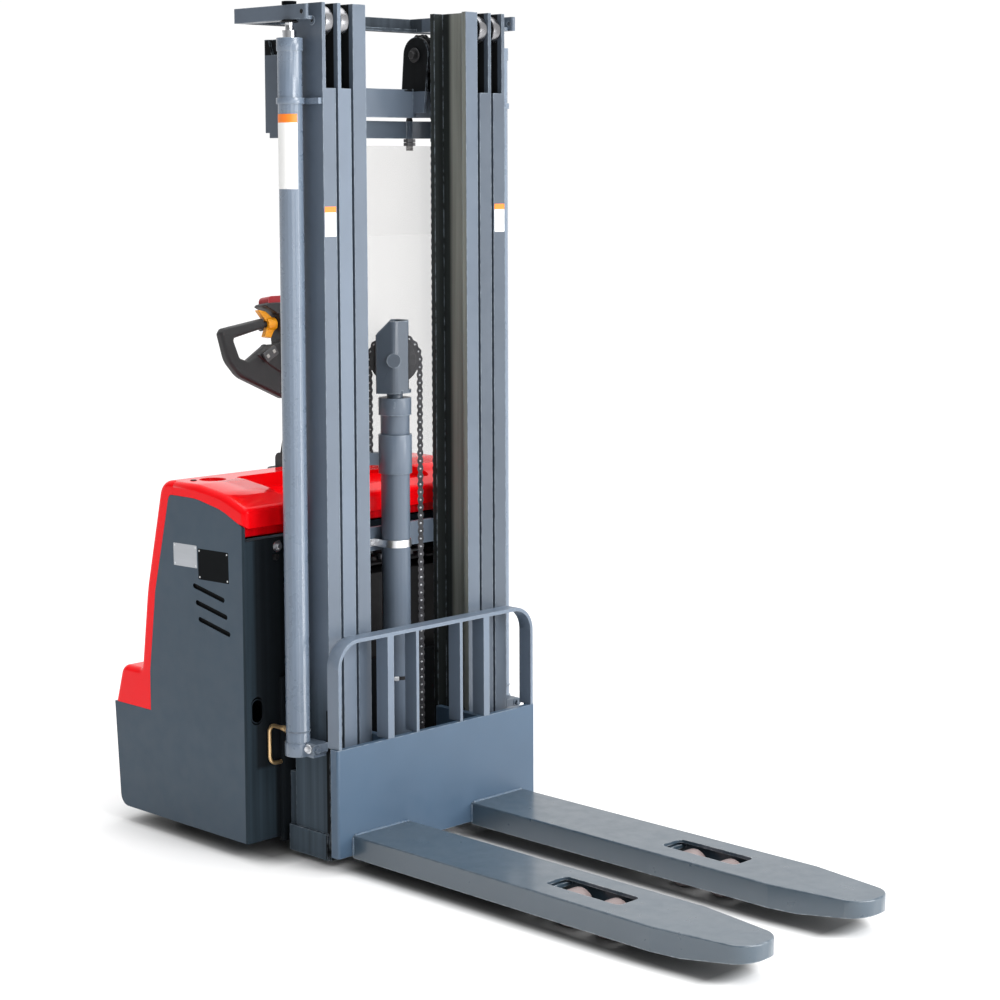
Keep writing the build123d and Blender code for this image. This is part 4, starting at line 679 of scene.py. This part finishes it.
# Chains
PITCH = 0.01905
PLATE_R = 0.0076
LINK_SHEET = 0.0017
LIFT_CHAIN_R = 0.061
MAST_CHAIN_R = 0.045
STRAND_FOOT = 0.13
LIFT_ANCHOR = 0.955
MAST_ANCHOR = 1.762


def link_plate():
    """A chain plate's outline: two round ends and a waist, from pin to pin along X."""
    outline = []
    for centre, start in ((PITCH, -115), (0.0, 65)):
        for k in range(7):
            angle = math.radians(start + 230 * k / 6)
            outline.append((centre + PLATE_R * math.cos(angle), PLATE_R * math.sin(angle)))
        waist = PLATE_R * 0.62 * (1 if start < 0 else -1)
        outline.append((PITCH / 2, waist))
    return outline


def add_chain(shape, path, axis):
    """Links between the path's points: plates in tone 0, pins and rollers in tone 1."""
    axis = Vector(axis)
    plate = link_plate()
    pin_end = [(0.0, 0.0079), (0.0019, 0.0079), (0.0025, 0.0074)]
    pin = lathe([(r, -z) for r, z in pin_end] + pin_end[::-1], 10)
    roller = lathe([(0.0052, -0.0031), (0.0058, -0.0027), (0.0058, 0.0027), (0.0052, 0.0031)], 12)
    for k, (a, b) in enumerate(zip(path, path[1:])):
        along = (b - a).normalized()
        axes = Matrix((along, axis.cross(along), axis)).transposed().to_4x4()
        place = Matrix.Translation(a) @ axes @ Matrix.Scale((b - a).length / PITCH, 4, (1, 0, 0))
        gap = 0.005 if k % 2 else 0.0032
        for low in (gap, -gap - LINK_SHEET):
            shape.add(prism(plate, low, low + LINK_SHEET), place)
        spot = Matrix.Translation(a) @ axes
        shape.add(pin, spot, 1)
        shape.add(roller, spot, 1)
    shape.add(pin, Matrix.Translation(path[-1]) @ axes, 1)


def straight(a, b):
    """Points a chain's pitch apart, near enough, along a line."""
    a, b = Vector(a), Vector(b)
    count = round((b - a).length / PITCH)
    return [a.lerp(b, k / count) for k in range(count + 1)]


def over_sheave(centre, across, radius):
    """Points a pitch apart over the top of a sheave, from the minus side to the plus side."""
    count = round(math.pi * radius / PITCH)
    turns = [math.pi * k / count for k in range(1, count)]
    up = Vector((0, 0, 1))
    return [centre + (up * math.sin(turn) - across * math.cos(turn)) * radius for turn in turns]


def add_reeving(strand, wrap, hub, out, radius, anchor, axis):
    """A chain over a sheave: its front strand, and its rear run with the turn over the top."""
    front, rear = hub + out * radius, hub - out * radius
    add_chain(strand, straight((front.x, front.y, STRAND_FOOT), front), axis)
    run = straight((rear.x, rear.y, anchor), rear)
    add_chain(wrap, run + over_sheave(hub, out, radius) + [front], axis)
    return front, rear


def build_chains():
    """The carriage's chain over the ram's sheave and the two mast chains, as real links."""
    hub = Vector((TUBE_X, 0.0, SHEAVE_Z))
    strand, wrap = Shape(), Shape()
    front, rear = add_reeving(strand, wrap, hub, ray(45), LIFT_CHAIN_R, LIFT_ANCHOR, ray(-45))
    piece = strand.ride("lift_chain_strand", "carriage", "chain_steel", lift_steel, pin_steel)
    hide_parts("lift_chain_front")
    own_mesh(piece)
    piece = wrap.build("lift_chain_wrap", (lift_steel, pin_steel))
    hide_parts("lift_chain_rear")
    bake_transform(piece)

    x, y, z = MAST_SHEAVE
    strands, wraps = Shape(), Shape()
    for side in (-1, 1):
        hub = Vector((x, side * y, z))
        add_reeving(strands, wraps, hub, ray(0), MAST_CHAIN_R, MAST_ANCHOR, (0, 1, 0))
    piece = strands.ride("mast_chain_strands", "inner_mast", "chain_steel", chain_steel, dark_pin)
    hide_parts("mast_chains_front")
    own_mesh(piece)
    piece = wraps.build("mast_chain_wraps", (chain_steel, dark_pin))
    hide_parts("mast_chains_rear")
    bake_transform(piece)


# Rollers and wheels
def wheel_profile(radius, half, rim, bore):
    """A wheel's half section, bore to bore: crowned tread, recessed sides and a hub."""
    side = [
        (bore, half * 0.86),
        (bore + (rim - bore) * 0.34, half * 0.86),
        (bore + (rim - bore) * 0.4, half * 0.7),
        (rim * 0.94, half * 0.7),
        (rim, half * 0.92),
        (radius * 0.93, half * 0.99),
        (radius * 0.985, half * 0.88),
    ]
    crown = [(radius, half * 0.5), (radius, -half * 0.5)]
    return side + crown + [(r, -y) for r, y in reversed(side)]


def add_wheel(shape, centre, radius, half, rim, bore):
    """A wheel about an axle along Y: tread in tone 0, core in tone 1, bearing and axle in 2."""
    spot = facing(centre, (0, 1, 0))
    section = wheel_profile(radius, half, rim, bore)
    core = section[:5] + section[-5:]
    band = section[4:-4] + [(rim * 0.97, -half * 0.8), (rim * 0.97, half * 0.8)]
    shape.add(lathe(band, 48, True), spot, 0)
    shape.add(lathe(core, 40, True), spot, 1)
    lip = 0.0016
    groove = bore + (rim - bore) * 0.55
    ring = [(groove, 0.7), (groove + lip, 0.76), (groove + 2 * lip, 0.7), (groove + lip, 0.64)]
    end = [(0.0, 0.9), (bore * 0.55, 0.9), (bore * 0.8, 0.87)]
    end += [(bore, 0.8), (bore, 0.0), (0.0, 0.0)]
    for face in (-1, 1):
        shape.add(lathe([(r, face * half * y) for r, y in ring], 40, True), spot, 2)
        shape.add(lathe([(r, face * half * y) for r, y in end], 28), spot, 2)


def build_mast_rollers():
    """Steel guide rollers with a bearing in each, in place of the plain ones."""
    for node in (
        "outer_top_rollers",
        "middle_top_rollers",
        "middle_bottom_rollers",
        "inner_bottom_rollers",
        "carriage_upper_rollers",
        "carriage_lower_rollers",
    ):
        low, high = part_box(node)
        x, _, z = centre_of(low, high)
        radius = (high[2] - low[2]) / 2
        shape = Shape()
        for side in (-1, 1):
            inner, outer = span(node, side)
            centre, half = (x, (inner + outer) / 2, z), (outer - inner) / 2
            add_wheel(shape, centre, radius, half, radius * 0.8, radius * 0.32)
        piece = shape.ride(node + "_turned", node, "bright_steel", roller_steel, steel, chain_steel)
        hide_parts(node)


def build_floor_wheels():
    """The pale load rollers, the drive wheel with its hub bolts and the casters."""
    load = ("roller_plastic", roller_tread, zinc, chain_steel)
    floor = ("wheel_tread", tread, cast_iron, zinc)
    wheels = []
    for side in SIDES:
        for end in ("rear", "front"):
            wheels.append((f"load_roller_{side}_{end}", 0.027, 0.0125, load))
    wheels.append(("drive_wheel", 0.088, 0.022, floor))
    for side in SIDES:
        wheels.append((f"caster_wheel_{side}", 0.034, 0.009, floor))
    for node, rim, bore, looks in wheels:
        low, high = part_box(node)
        centre = centre_of(low, high)
        radius, half = (high[2] - low[2]) / 2, (high[1] - low[1]) / 2
        shape = Shape()
        add_wheel(shape, centre, radius, half, rim, bore)
        if node == "drive_wheel":
            for face in (-1, 1):
                for k in range(5):
                    angle = math.tau * k / 5
                    out = Vector((math.cos(angle), 0, math.sin(angle)))
                    spot = centre + out * 0.052 + Vector((0, face * half * 0.7, 0))
                    add_bolt(shape, spot, (0, face, 0), 0.014, 2)
        piece = shape.ride(node + "_turned", node, *looks)
        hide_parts(node)


# Mast fittings
def patch_on_cylinder(radius, turn, zs):
    """A thin curved patch about Z between two angles in degrees."""
    columns, outer = 14, radius + 0.0003
    corners = ((radius, zs[0]), (radius, zs[1]), (outer, zs[1]), (outer, zs[0]))
    points, faces = [], []
    for k in range(columns + 1):
        angle = math.radians(turn[0] + (turn[1] - turn[0]) * k / columns)
        points += [(r * math.cos(angle), r * math.sin(angle), z) for r, z in corners]
    for k in range(columns):
        for i in range(4):
            a, b = 4 * k + i, 4 * k + (i + 1) % 4
            faces.append([a, b, b + 4, a + 4])
    faces += [[0, 1, 2, 3], [4 * columns + i for i in range(4)]]
    return points, faces


def build_stickers():
    """Bare stickers: one round the right cylinder and one on each outer rail's front."""
    shape = Shape()
    place = at(CYLINDER_X, -CYLINDER_Y, 0.0)
    for zs, tone in (((1.598, 1.7495), 0), ((1.7495, 1.769), 1)):
        shape.add(patch_on_cylinder(CYLINDER_R + 0.0001, (-148, -8), zs), place, tone)
    for side in (-1, 1):
        for low, high, tone in ((1.488, 1.5435, 0), (1.5435, 1.557, 1)):
            spot = facing((MAST_FRONT, side * 0.2765, (low + high) / 2), (1, 0, 0))
            shape.add(prism(rounded(0.034, high - low, 0.0005), 0.0001, 0.0005), spot, tone)
    shape.ride("bare_stickers", "chassis", "black_plastic", label_white, label_orange)


def build_cylinder_feet():
    """The lug with its bolts at each side cylinder's foot, a weld seam and the pipe's union."""
    lug = [(0.0, -0.014), (0.06, -0.012), (0.066, -0.006)]
    lug += [(0.066, 0.014), (0.052, 0.015), (0.0, 0.012)]
    for side, sign in SIDES.items():
        shape = Shape()
        foot = Vector((CYLINDER_X, sign * CYLINDER_Y, 0.288))
        out = Vector((0, sign, 0))
        outline = lug if sign < 0 else [(-a, b) for a, b in reversed(lug)]
        shape.add(prism(outline, -0.037, 0.004, 0.002), facing(foot, out))
        add_bolt(shape, foot + Vector((0.041, sign * 0.004, 0.001)), out, 0.012, 1)
        add_bolt(shape, foot + Vector((0.066, 0.0, 0.002)), (1, 0, 0), 0.013, 0)
        root, crest = CYLINDER_R - 0.001, CYLINDER_R + 0.0012
        seam = [(root, -0.003), (crest, -0.0012), (crest, 0.0012), (root, 0.003)]
        shape.add(lathe(seam, 48, True), at(CYLINDER_X, sign * CYLINDER_Y, 0.326))
        shape.ride(f"cylinder_foot_{side}", "chassis", "frame_paint", paint, zinc)
        union = Shape()
        for x, size, length in (
            (-0.029, 0.0115, 0.009),
            (-0.0385, 0.014, 0.01),
            (-0.049, 0.012, 0.01),
        ):
            spot = facing((CYLINDER_X + x, sign * CYLINDER_Y, 0.322), (-1, 0, 0), 0.3)
            union.add(prism(hexagon(size), 0.0, length, 0.0012), spot)
        union.ride(f"pipe_union_{side}", "chassis", "pipe_metal", brass)


def build_mast_head_fittings():
    """At the mast's head: roller pins, sheave hubs, the bow's bolt ends and the rods' washers."""
    pin = [(0.0045, 0.0), (0.0105, 0.0), (0.0112, 0.0008)]
    pin += [(0.0105, 0.0016), (0.0052, 0.0016), (0.0045, 0.001)]
    socket = [(0.0, 0.0002), (0.0047, 0.0002), (0.0047, 0.0009), (0.0, 0.0009)]
    bolt_end = [(0.0, 0.0), (0.005, 0.0), (0.005, 0.0006), (0.0042, 0.0012), (0.0, 0.0012)]
    washer = [(0.0098, 0.0), (0.0205, 0.0), (0.0212, 0.0014), (0.0205, 0.0028), (0.0098, 0.0028)]
    sheave_x, _, sheave_z = MAST_SHEAVE
    outer, middle = Shape(), Shape()
    for side in (-1, 1):
        out = (0, side, 0)
        roller = facing((HEAD_ROLLER_X, side * OUTER_FACE, HEAD_ROLLER_Z), out)
        outer.add(lathe(pin, 28, True), roller)
        outer.add(lathe(socket, 20), roller, 1)
        for face, edge in zip((-1, 1), span("mast_sheaves", side)):
            hub = (sheave_x, edge + face * 0.0115, sheave_z)
            add_bolt(middle, hub, (0, face, 0), 0.019)
        bow = facing((MAST_FRONT - 0.018, side * (CYLINDER_Y + 0.006), 2.0), out)
        middle.add(lathe(bolt_end, 20), bow, 1)
        rod = facing((CYLINDER_X, side * CYLINDER_Y, 1.9772), (0, 0, 1))
        middle.add(lathe(washer, 36, True), rod, 1)
    outer.ride("head_roller_pins", "chassis", "bright_steel", paint, dark_plastic)
    middle.ride("mast_head_bolts", "middle_mast", "bright_steel", chain_steel, dark_plastic)


def build_tube_strap():
    """The strap that holds the free-lift cylinder to its beam, and a small hose band below."""
    shape = Shape()
    low, high = 0.724, 0.742
    inside = TUBE_R + 0.0012
    ear = inside + 0.026
    arc = [math.radians(-90 + 180 * k / 20) for k in range(21)]
    rows = []
    for reach, lift in ((inside, 0.0002), (inside + 0.0018, 0.002)):
        back = MAST_BACK - TUBE_X + lift
        bend = [(reach * math.cos(a), reach * math.sin(a)) for a in arc]
        rows.append([(back, -ear), (back, -reach)] + bend + [(back, reach), (back, ear)])
    outline = rows[1] + rows[0][::-1]
    count = len(outline)
    points = [(x, y, z) for z in (low, high) for x, y in outline]
    faces = [[k, (k + 1) % count, (k + 1) % count + count, k + count] for k in range(count)]
    for level in (0, count):
        for k in range(count // 2 - 1):
            far = level + count - 1 - k
            faces.append([level + k, level + k + 1, far - 1, far])
    shape.add((points, faces), at(TUBE_X, 0, 0))
    for side in (-1, 1):
        add_bolt(shape, (MAST_BACK + 0.002, side * 0.051, (low + high) / 2), (1, 0, 0), 0.01)
    band = [(TUBE_R, 0.0), (TUBE_R + 0.0012, 0.0), (TUBE_R + 0.0012, 0.009), (TUBE_R, 0.009)]
    shape.add(lathe(band, 48, True), at(TUBE_X, 0, 0.396), 1)
    out = ray(-45)
    block = facing(Vector((TUBE_X, 0, 0.4005)) + out * TUBE_R, out)
    shape.add(prism(rounded(0.013, 0.01, 0.002), 0.0, 0.006, 0.0008), block)
    shape.ride("tube_strap", "inner_mast", "bright_steel", zinc, dark_plastic)


def build_ram_details():
    """A wiper ring and the slots of a lock nut on the free-lift ram."""
    shape = Shape()
    wiper = [(0.03, 0.0), (0.04, 0.0), (0.0406, 0.0008), (0.0398, 0.0022), (0.03, 0.0022)]
    shape.add(lathe(wiper, 48, True), at(TUBE_X, 0, 1.048))
    for k in range(4):
        out = ray(45 + 90 * k)
        spot = facing(Vector((TUBE_X, 0, 1.074)) + out * 0.0385, out)
        shape.add(prism(rounded(0.005, 0.016, 0.002), 0.0, 0.0018, 0.0004), spot)
    shape.ride("ram_rings", "lift_ram", "frame_paint", paint)


# Carriage and forks
def build_welds():
    """Weld beads where the forks meet the plate."""
    shape = Shape()
    x, top = PLATE_X + 0.001, FORK_TOP - 0.001
    inner, outer = FORK_Y - FORK_WIDTH / 2, FORK_Y + FORK_WIDTH / 2
    for side in (-1, 1):
        add_weld(shape, (x, side * (inner + 0.004), top), (x, side * (outer - 0.004), top), 0.008)
        for y in (side * inner, side * outer):
            add_weld(shape, (x, y, 0.04), (x, y, FORK_TOP - 0.004), 0.006)
    shape.ride("fork_welds", "carriage", "frame_paint", shaded_plate_paint)


# Body
def build_panel_plates():
    """Bare rating plates on the right panel, with a rivet at each corner."""
    shape = Shape()
    dome = [(0.0, 0.00015), (0.0012, 0.00012), (0.002, 0.00006), (0.0023, 0.0), (0.0, 0.0)]
    rivet_in = 0.0055
    for x, z, width, height, tone in (
        (-0.4735, 0.712, 0.092, 0.055, 0),
        (-0.3645, 0.6985, 0.117, 0.075, 1),
    ):
        spot = facing((PLATE_X + x, -PANEL_Y, z), (0, -1, 0), math.radians(1.2))
        shape.add(prism(rounded(width, height, 0.002), -0.0004, 0.0001, 0.00005), spot, tone)
        for sx, sz in ((-1, -1), (-1, 1), (1, -1), (1, 1)):
            corner = at(sx * (width / 2 - rivet_in), sz * (height / 2 - rivet_in), 0.0001)
            shape.add(lathe(dome, 16), spot @ corner, 2)
    shape.ride("rating_plates", "chassis", "bare_aluminium", name_plate, black_plate, zinc)


def build_body_fittings():
    """The cable holes' rims, the bolt and stud above each of them and the stop button's collar."""
    shape = Shape()
    hole_r, hole_straight = 0.0175, 0.011
    stud = [(0.0, 0.0), (0.008, 0.0), (0.008, 0.006), (0.006, 0.009), (0.0, 0.009)]
    for side in (-1, 1):
        hole = Vector((BODY_FRONT, side * 0.366, 0.358))
        rim = []
        for k in range(33):
            across, up = math.cos(math.tau * k / 32), math.sin(math.tau * k / 32)
            rise = hole_r * up + math.copysign(hole_straight, up)
            rim.append(hole + Vector((0, hole_r * across, rise)))
        shape.add(sweep(rim, 0.0013, 8))
        add_bolt(shape, (BODY_FRONT, side * 0.297, 0.748), (1, 0, 0), 0.014, 1)
        shape.add(lathe(stud, 24), facing((BODY_FRONT, side * 0.305, 0.723), (1, 0, 0)), 2)
    low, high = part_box("emergency_stop")
    collar = [(0.0125, 0.0), (0.029, 0.0), (0.029, 0.0008), (0.0275, 0.0016), (0.0125, 0.0016)]
    x, y, _ = centre_of(low, high)
    shape.add(lathe(collar, 48, True), at(x, y, low[2] + 0.012), 3)
    shape.ride("body_fittings", "chassis", "panel_paint", panel_paint, zinc, dark_plastic, yellow)


def build_lid_lock():
    """The lock on the lid, with its key slot."""
    lock = Shape()
    spot = at(-0.6805, -0.356, 0.889)
    barrel = [(0.0, 0.0), (0.008, 0.0), (0.008, 0.001), (0.0068, 0.0018), (0.0, 0.0018)]
    lock.add(lathe(barrel, 28), spot)
    lock.add(prism(rounded(0.0012, 0.007, 0.0004), 0.0017, 0.002), spot, 1)
    lock.ride("lid_lock", "battery_lid", "black_plastic", dark_plastic, steel)


def build_battery_top():
    """Cells with their caps, posts and bars on top of the battery, and its two cables."""
    low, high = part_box("battery_pack")
    columns = 6
    length, step = high[0] - low[0], (high[1] - low[1]) / columns
    top = high[2]
    cell_top = top + 0.005
    cell = prism(rounded(length / 2 - 0.008, step - 0.008, 0.004), -0.001, cell_top - top, 0.0015)
    cap = [(0.0, 0.0), (0.012, 0.0), (0.012, 0.005), (0.0095, 0.009), (0.0, 0.009)]
    post = [(0.0, 0.0), (0.008, 0.0), (0.0074, 0.012), (0.0, 0.012)]
    bar = prism(rounded(0.016, step * 0.36 + 0.014, 0.003), 0.0, 0.004, 0.001)
    cable = ((0, 0, 0), (0, -0.004, 0.008), (-0.01, 0.03, 0.014), (-0.03, 0.12, 0.006))
    shape = Shape()
    for share, cable_tone in ((0.25, 1), (0.75, 3)):
        x = low[0] + length * share
        for column in range(columns):
            y = low[1] + step * (column + 0.5)
            shape.add(cell, at(x, y, top))
            shape.add(lathe(cap, 24), at(x, y, cell_top), 1)
            for side in (-1, 1):
                shape.add(lathe(post, 20), at(x, y + side * step * 0.32, cell_top), 2)
            if column < columns - 1:
                shape.add(bar, at(x, y + step / 2, top + 0.0115), 2)
        end = Vector((x, low[1] + step * 0.18, top + 0.018))
        path = [end + Vector(point) for point in cable]
        shape.add(sweep(path, 0.006, 12), tone=cable_tone)
    shape.ride("battery_cells", "chassis", "black_plastic", dark_plastic, rubber, lead, button_red)


def build_machine_details():
    """A bolted cover on the hydraulic unit and cooling fins on the controller."""
    low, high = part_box("hydraulic_power_unit")
    middle = centre_of(low, high)
    middle.z = high[2]
    shape = Shape()
    cover = [(0.0, 0.006), (0.034, 0.006), (0.04, 0.003), (0.042, 0.0), (0.0, 0.0)]
    shape.add(lathe(cover, 40), at(*middle))
    for k in range(4):
        add_bolt(shape, middle + ray(45 + 90 * k) * 0.048, (0, 0, 1), 0.01, 1)
    low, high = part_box("motor_controller")
    fins, length = 9, (high[0] - low[0]) * 0.9
    fin = prism(rounded(length, 0.004, 0.001), -0.001, 0.008, 0.0008)
    for k in range(fins):
        y = low[1] + (high[1] - low[1]) * (k + 0.5) / fins
        shape.add(fin, at((low[0] + high[0]) / 2, y, high[2]), 2)
    shape.ride("machine_details", "chassis", "cast_housing", cast_iron, zinc, aluminium)


def build_caster_nuts():
    """A nut at each end of the casters' axles."""
    for side in SIDES:
        low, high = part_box(f"caster_wheel_{side}")
        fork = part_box(f"caster_fork_{side}")
        axle = centre_of(low, high)
        shape = Shape()
        for face, corner in zip((-1, 1), fork):
            add_bolt(shape, (axle.x, corner[1], axle.z), (0, face, 0), 0.013)
        shape.ride(f"caster_nuts_{side}", f"caster_fork_{side}", "bright_steel", zinc)


def build_slot_shade_screens():
    """Dark sheets with upright bars behind the panels' slots, as painted shade inside the slots."""
    shape = Shape()
    for side in (-1, 1):
        out = (0, side, 0)
        spot = facing((VENT_X, side * (PANEL_Y - 0.0065), VENT_Z), out)
        shape.add(prism(rounded(0.17, 0.15, 0.006), -0.0015, 0.0, 0.0004), spot)
        for k in range(16):
            x = VENT_X - 0.08 + 0.0107 * k
            bar = facing((x, side * (PANEL_Y - 0.0078), VENT_Z), out)
            shape.add(prism(rounded(0.003, 0.146, 0.001), -0.002, 0.0005), bar)
    shape.ride("slot_shade_screens", "chassis", "black_plastic", dark_plastic)


# Tiller
def head_place(across, height, depth):
    """A place on the tiller's head: across it, up along it and out of its plane."""
    right = Vector((0, 1, 0))
    up = Vector((-math.sin(HEAD_TILT), 0, math.cos(HEAD_TILT)))
    out = Vector((math.cos(HEAD_TILT), 0, math.sin(HEAD_TILT)))
    spot = HEAD_BASE + right * across + up * height + out * depth
    return Matrix.Translation(spot) @ Matrix((right, up, out)).transposed().to_4x4()


def build_rocker_pips():
    """Two bare pips on the rocker."""
    pips = Shape()
    rocker = head_place(-0.062, 0.114, 0.028) @ Matrix.Rotation(math.radians(28), 4, "Z")
    pip = prism(rounded(0.009, 0.009, 0.0015), -0.001, 0.001, 0.0003)
    for step in (-0.012, 0.012):
        pips.add(pip, rocker @ at(step, 0, 0))
    pips.ride("rocker_pips", "lift_rocker", "button_grey", pale_grey)


build_chains()
build_mast_rollers()
build_floor_wheels()
build_stickers()
build_cylinder_feet()
build_mast_head_fittings()
build_tube_strap()
build_ram_details()
build_welds()
build_panel_plates()
build_body_fittings()
build_lid_lock()
build_battery_top()
build_machine_details()
build_caster_nuts()
build_slot_shade_screens()
build_rocker_pips()


# Stage, light and camera
def build_world():
    """A bright surround that fades to grey on the truck's right, as beside a wall of soft boxes."""
    world = bpy.context.scene.world or bpy.data.worlds.new("studio")
    bpy.context.scene.world = world
    world.use_nodes = True
    tree = world.node_tree
    background = tree.nodes["Background"]
    background.inputs["Color"].default_value = (1.0, 1.0, 1.0, 1.0)
    dot = tree.nodes.new("ShaderNodeVectorMath")
    dot.operation = "DOT_PRODUCT"
    dot.inputs[1].default_value = Vector((0.05, 0.78, 0.55)).normalized()
    tree.links.new(tree.nodes.new("ShaderNodeTexCoord").outputs["Generated"], dot.inputs[0])
    strength = remap(tree, dot.outputs["Value"], -0.6, 0.3, 0.26, 1.03)
    tree.links.new(strength, background.inputs["Strength"])


def build_stage():
    """A pale floor with painted soft shadows under the truck, and soft studio lights."""
    bpy.ops.mesh.primitive_plane_add(size=80.0, location=(0.0, 0.0, 0.0))
    floor = bpy.context.object
    floor.name = "floor"
    material, tree, shader = new_material("floor")
    coords = tree.nodes.new("ShaderNodeTexCoord").outputs["Object"]
    tone = mix_colour(tree, noise(tree, coords, 0.6, 2.0), (0.93, 0.93, 0.93), (0.95, 0.95, 0.95))
    # Painted soft shadows under the forks and under the body
    for low, high, soft in (
        ((-0.2, 0.13, -1.0), (0.86, 0.26, 1.0), 0.05),
        ((-0.88, 0.0, -1.0), (-0.42, 0.34, 1.0), 0.08),
    ):
        tone = mix_colour(tree, within(tree, coords, low, high, soft), tone, (0.25, 0.25, 0.25))
    tree.links.new(tone, shader.inputs["Base Color"])
    shader.inputs["Roughness"].default_value = 0.7
    shader.inputs["Specular IOR Level"].default_value = 0.2
    # The floor glows further out, so that it meets the surround without a line
    away = tree.nodes.new("ShaderNodeVectorMath")
    away.operation = "LENGTH"
    tree.links.new(coords, away.inputs[0])
    shader.inputs["Emission Color"].default_value = (1.0, 1.0, 1.0, 1.0)
    glow = remap(tree, away.outputs["Value"], 1.2, 6.0, 0.0, 0.22)
    tree.links.new(glow, shader.inputs["Emission Strength"])
    floor.data.materials.append(material)
    for name, place, target, width, height, power in (
        ("key", (4.9, 2.2, 1.3), (-0.2, 0.0, 1.0), 2.2, 2.0, 125.0),
        ("strip", (5.0, -2.5, 1.5), (-0.3, -0.2, 1.1), 0.6, 3.0, 34.0),
        ("front", (4.5, 0.2, 3.4), (-0.1, 0.0, 0.8), 2.4, 2.4, 185.0),
        ("top", (-0.4, 0.6, 5.0), (-0.3, 0.0, 0.5), 4.0, 4.0, 140.0),
    ):
        data = bpy.data.lights.new(name, "AREA")
        data.energy = power
        data.shape = "RECTANGLE"
        data.size = width
        data.size_y = height
        lamp = new_object(name, data)
        lamp.location = place
        lamp.rotation_euler = (Vector(target) - Vector(place)).to_track_quat("-Z", "Y").to_euler()


def build_camera():
    """The photograph's viewpoint: slightly above, from the front right, nearly level."""
    yaw, pitch, roll = math.radians(45.289), math.radians(5.763), math.radians(-0.196)
    ahead = Vector(
        (-math.cos(yaw) * math.cos(pitch), math.sin(yaw) * math.cos(pitch), -math.sin(pitch))
    )
    right = Vector((math.sin(yaw), math.cos(yaw), 0.0))
    up = right.cross(ahead)
    turned_right = right * math.cos(roll) + up * math.sin(roll)
    turned_up = turned_right.cross(ahead)
    axes = Matrix((turned_right, turned_up, -ahead)).transposed().to_4x4()
    data = bpy.data.cameras.new("camera")
    data.lens = 81.46
    data.sensor_width = 36.0
    data.shift_y = -0.1
    data.clip_end = 100.0
    camera = new_object("camera", data)
    camera.matrix_world = at(3.7018, -3.7188, 1.6361) @ axes
    bpy.context.scene.camera = camera


build_world()
build_stage()
build_camera()
bpy.context.scene.view_settings.view_transform = "Standard"
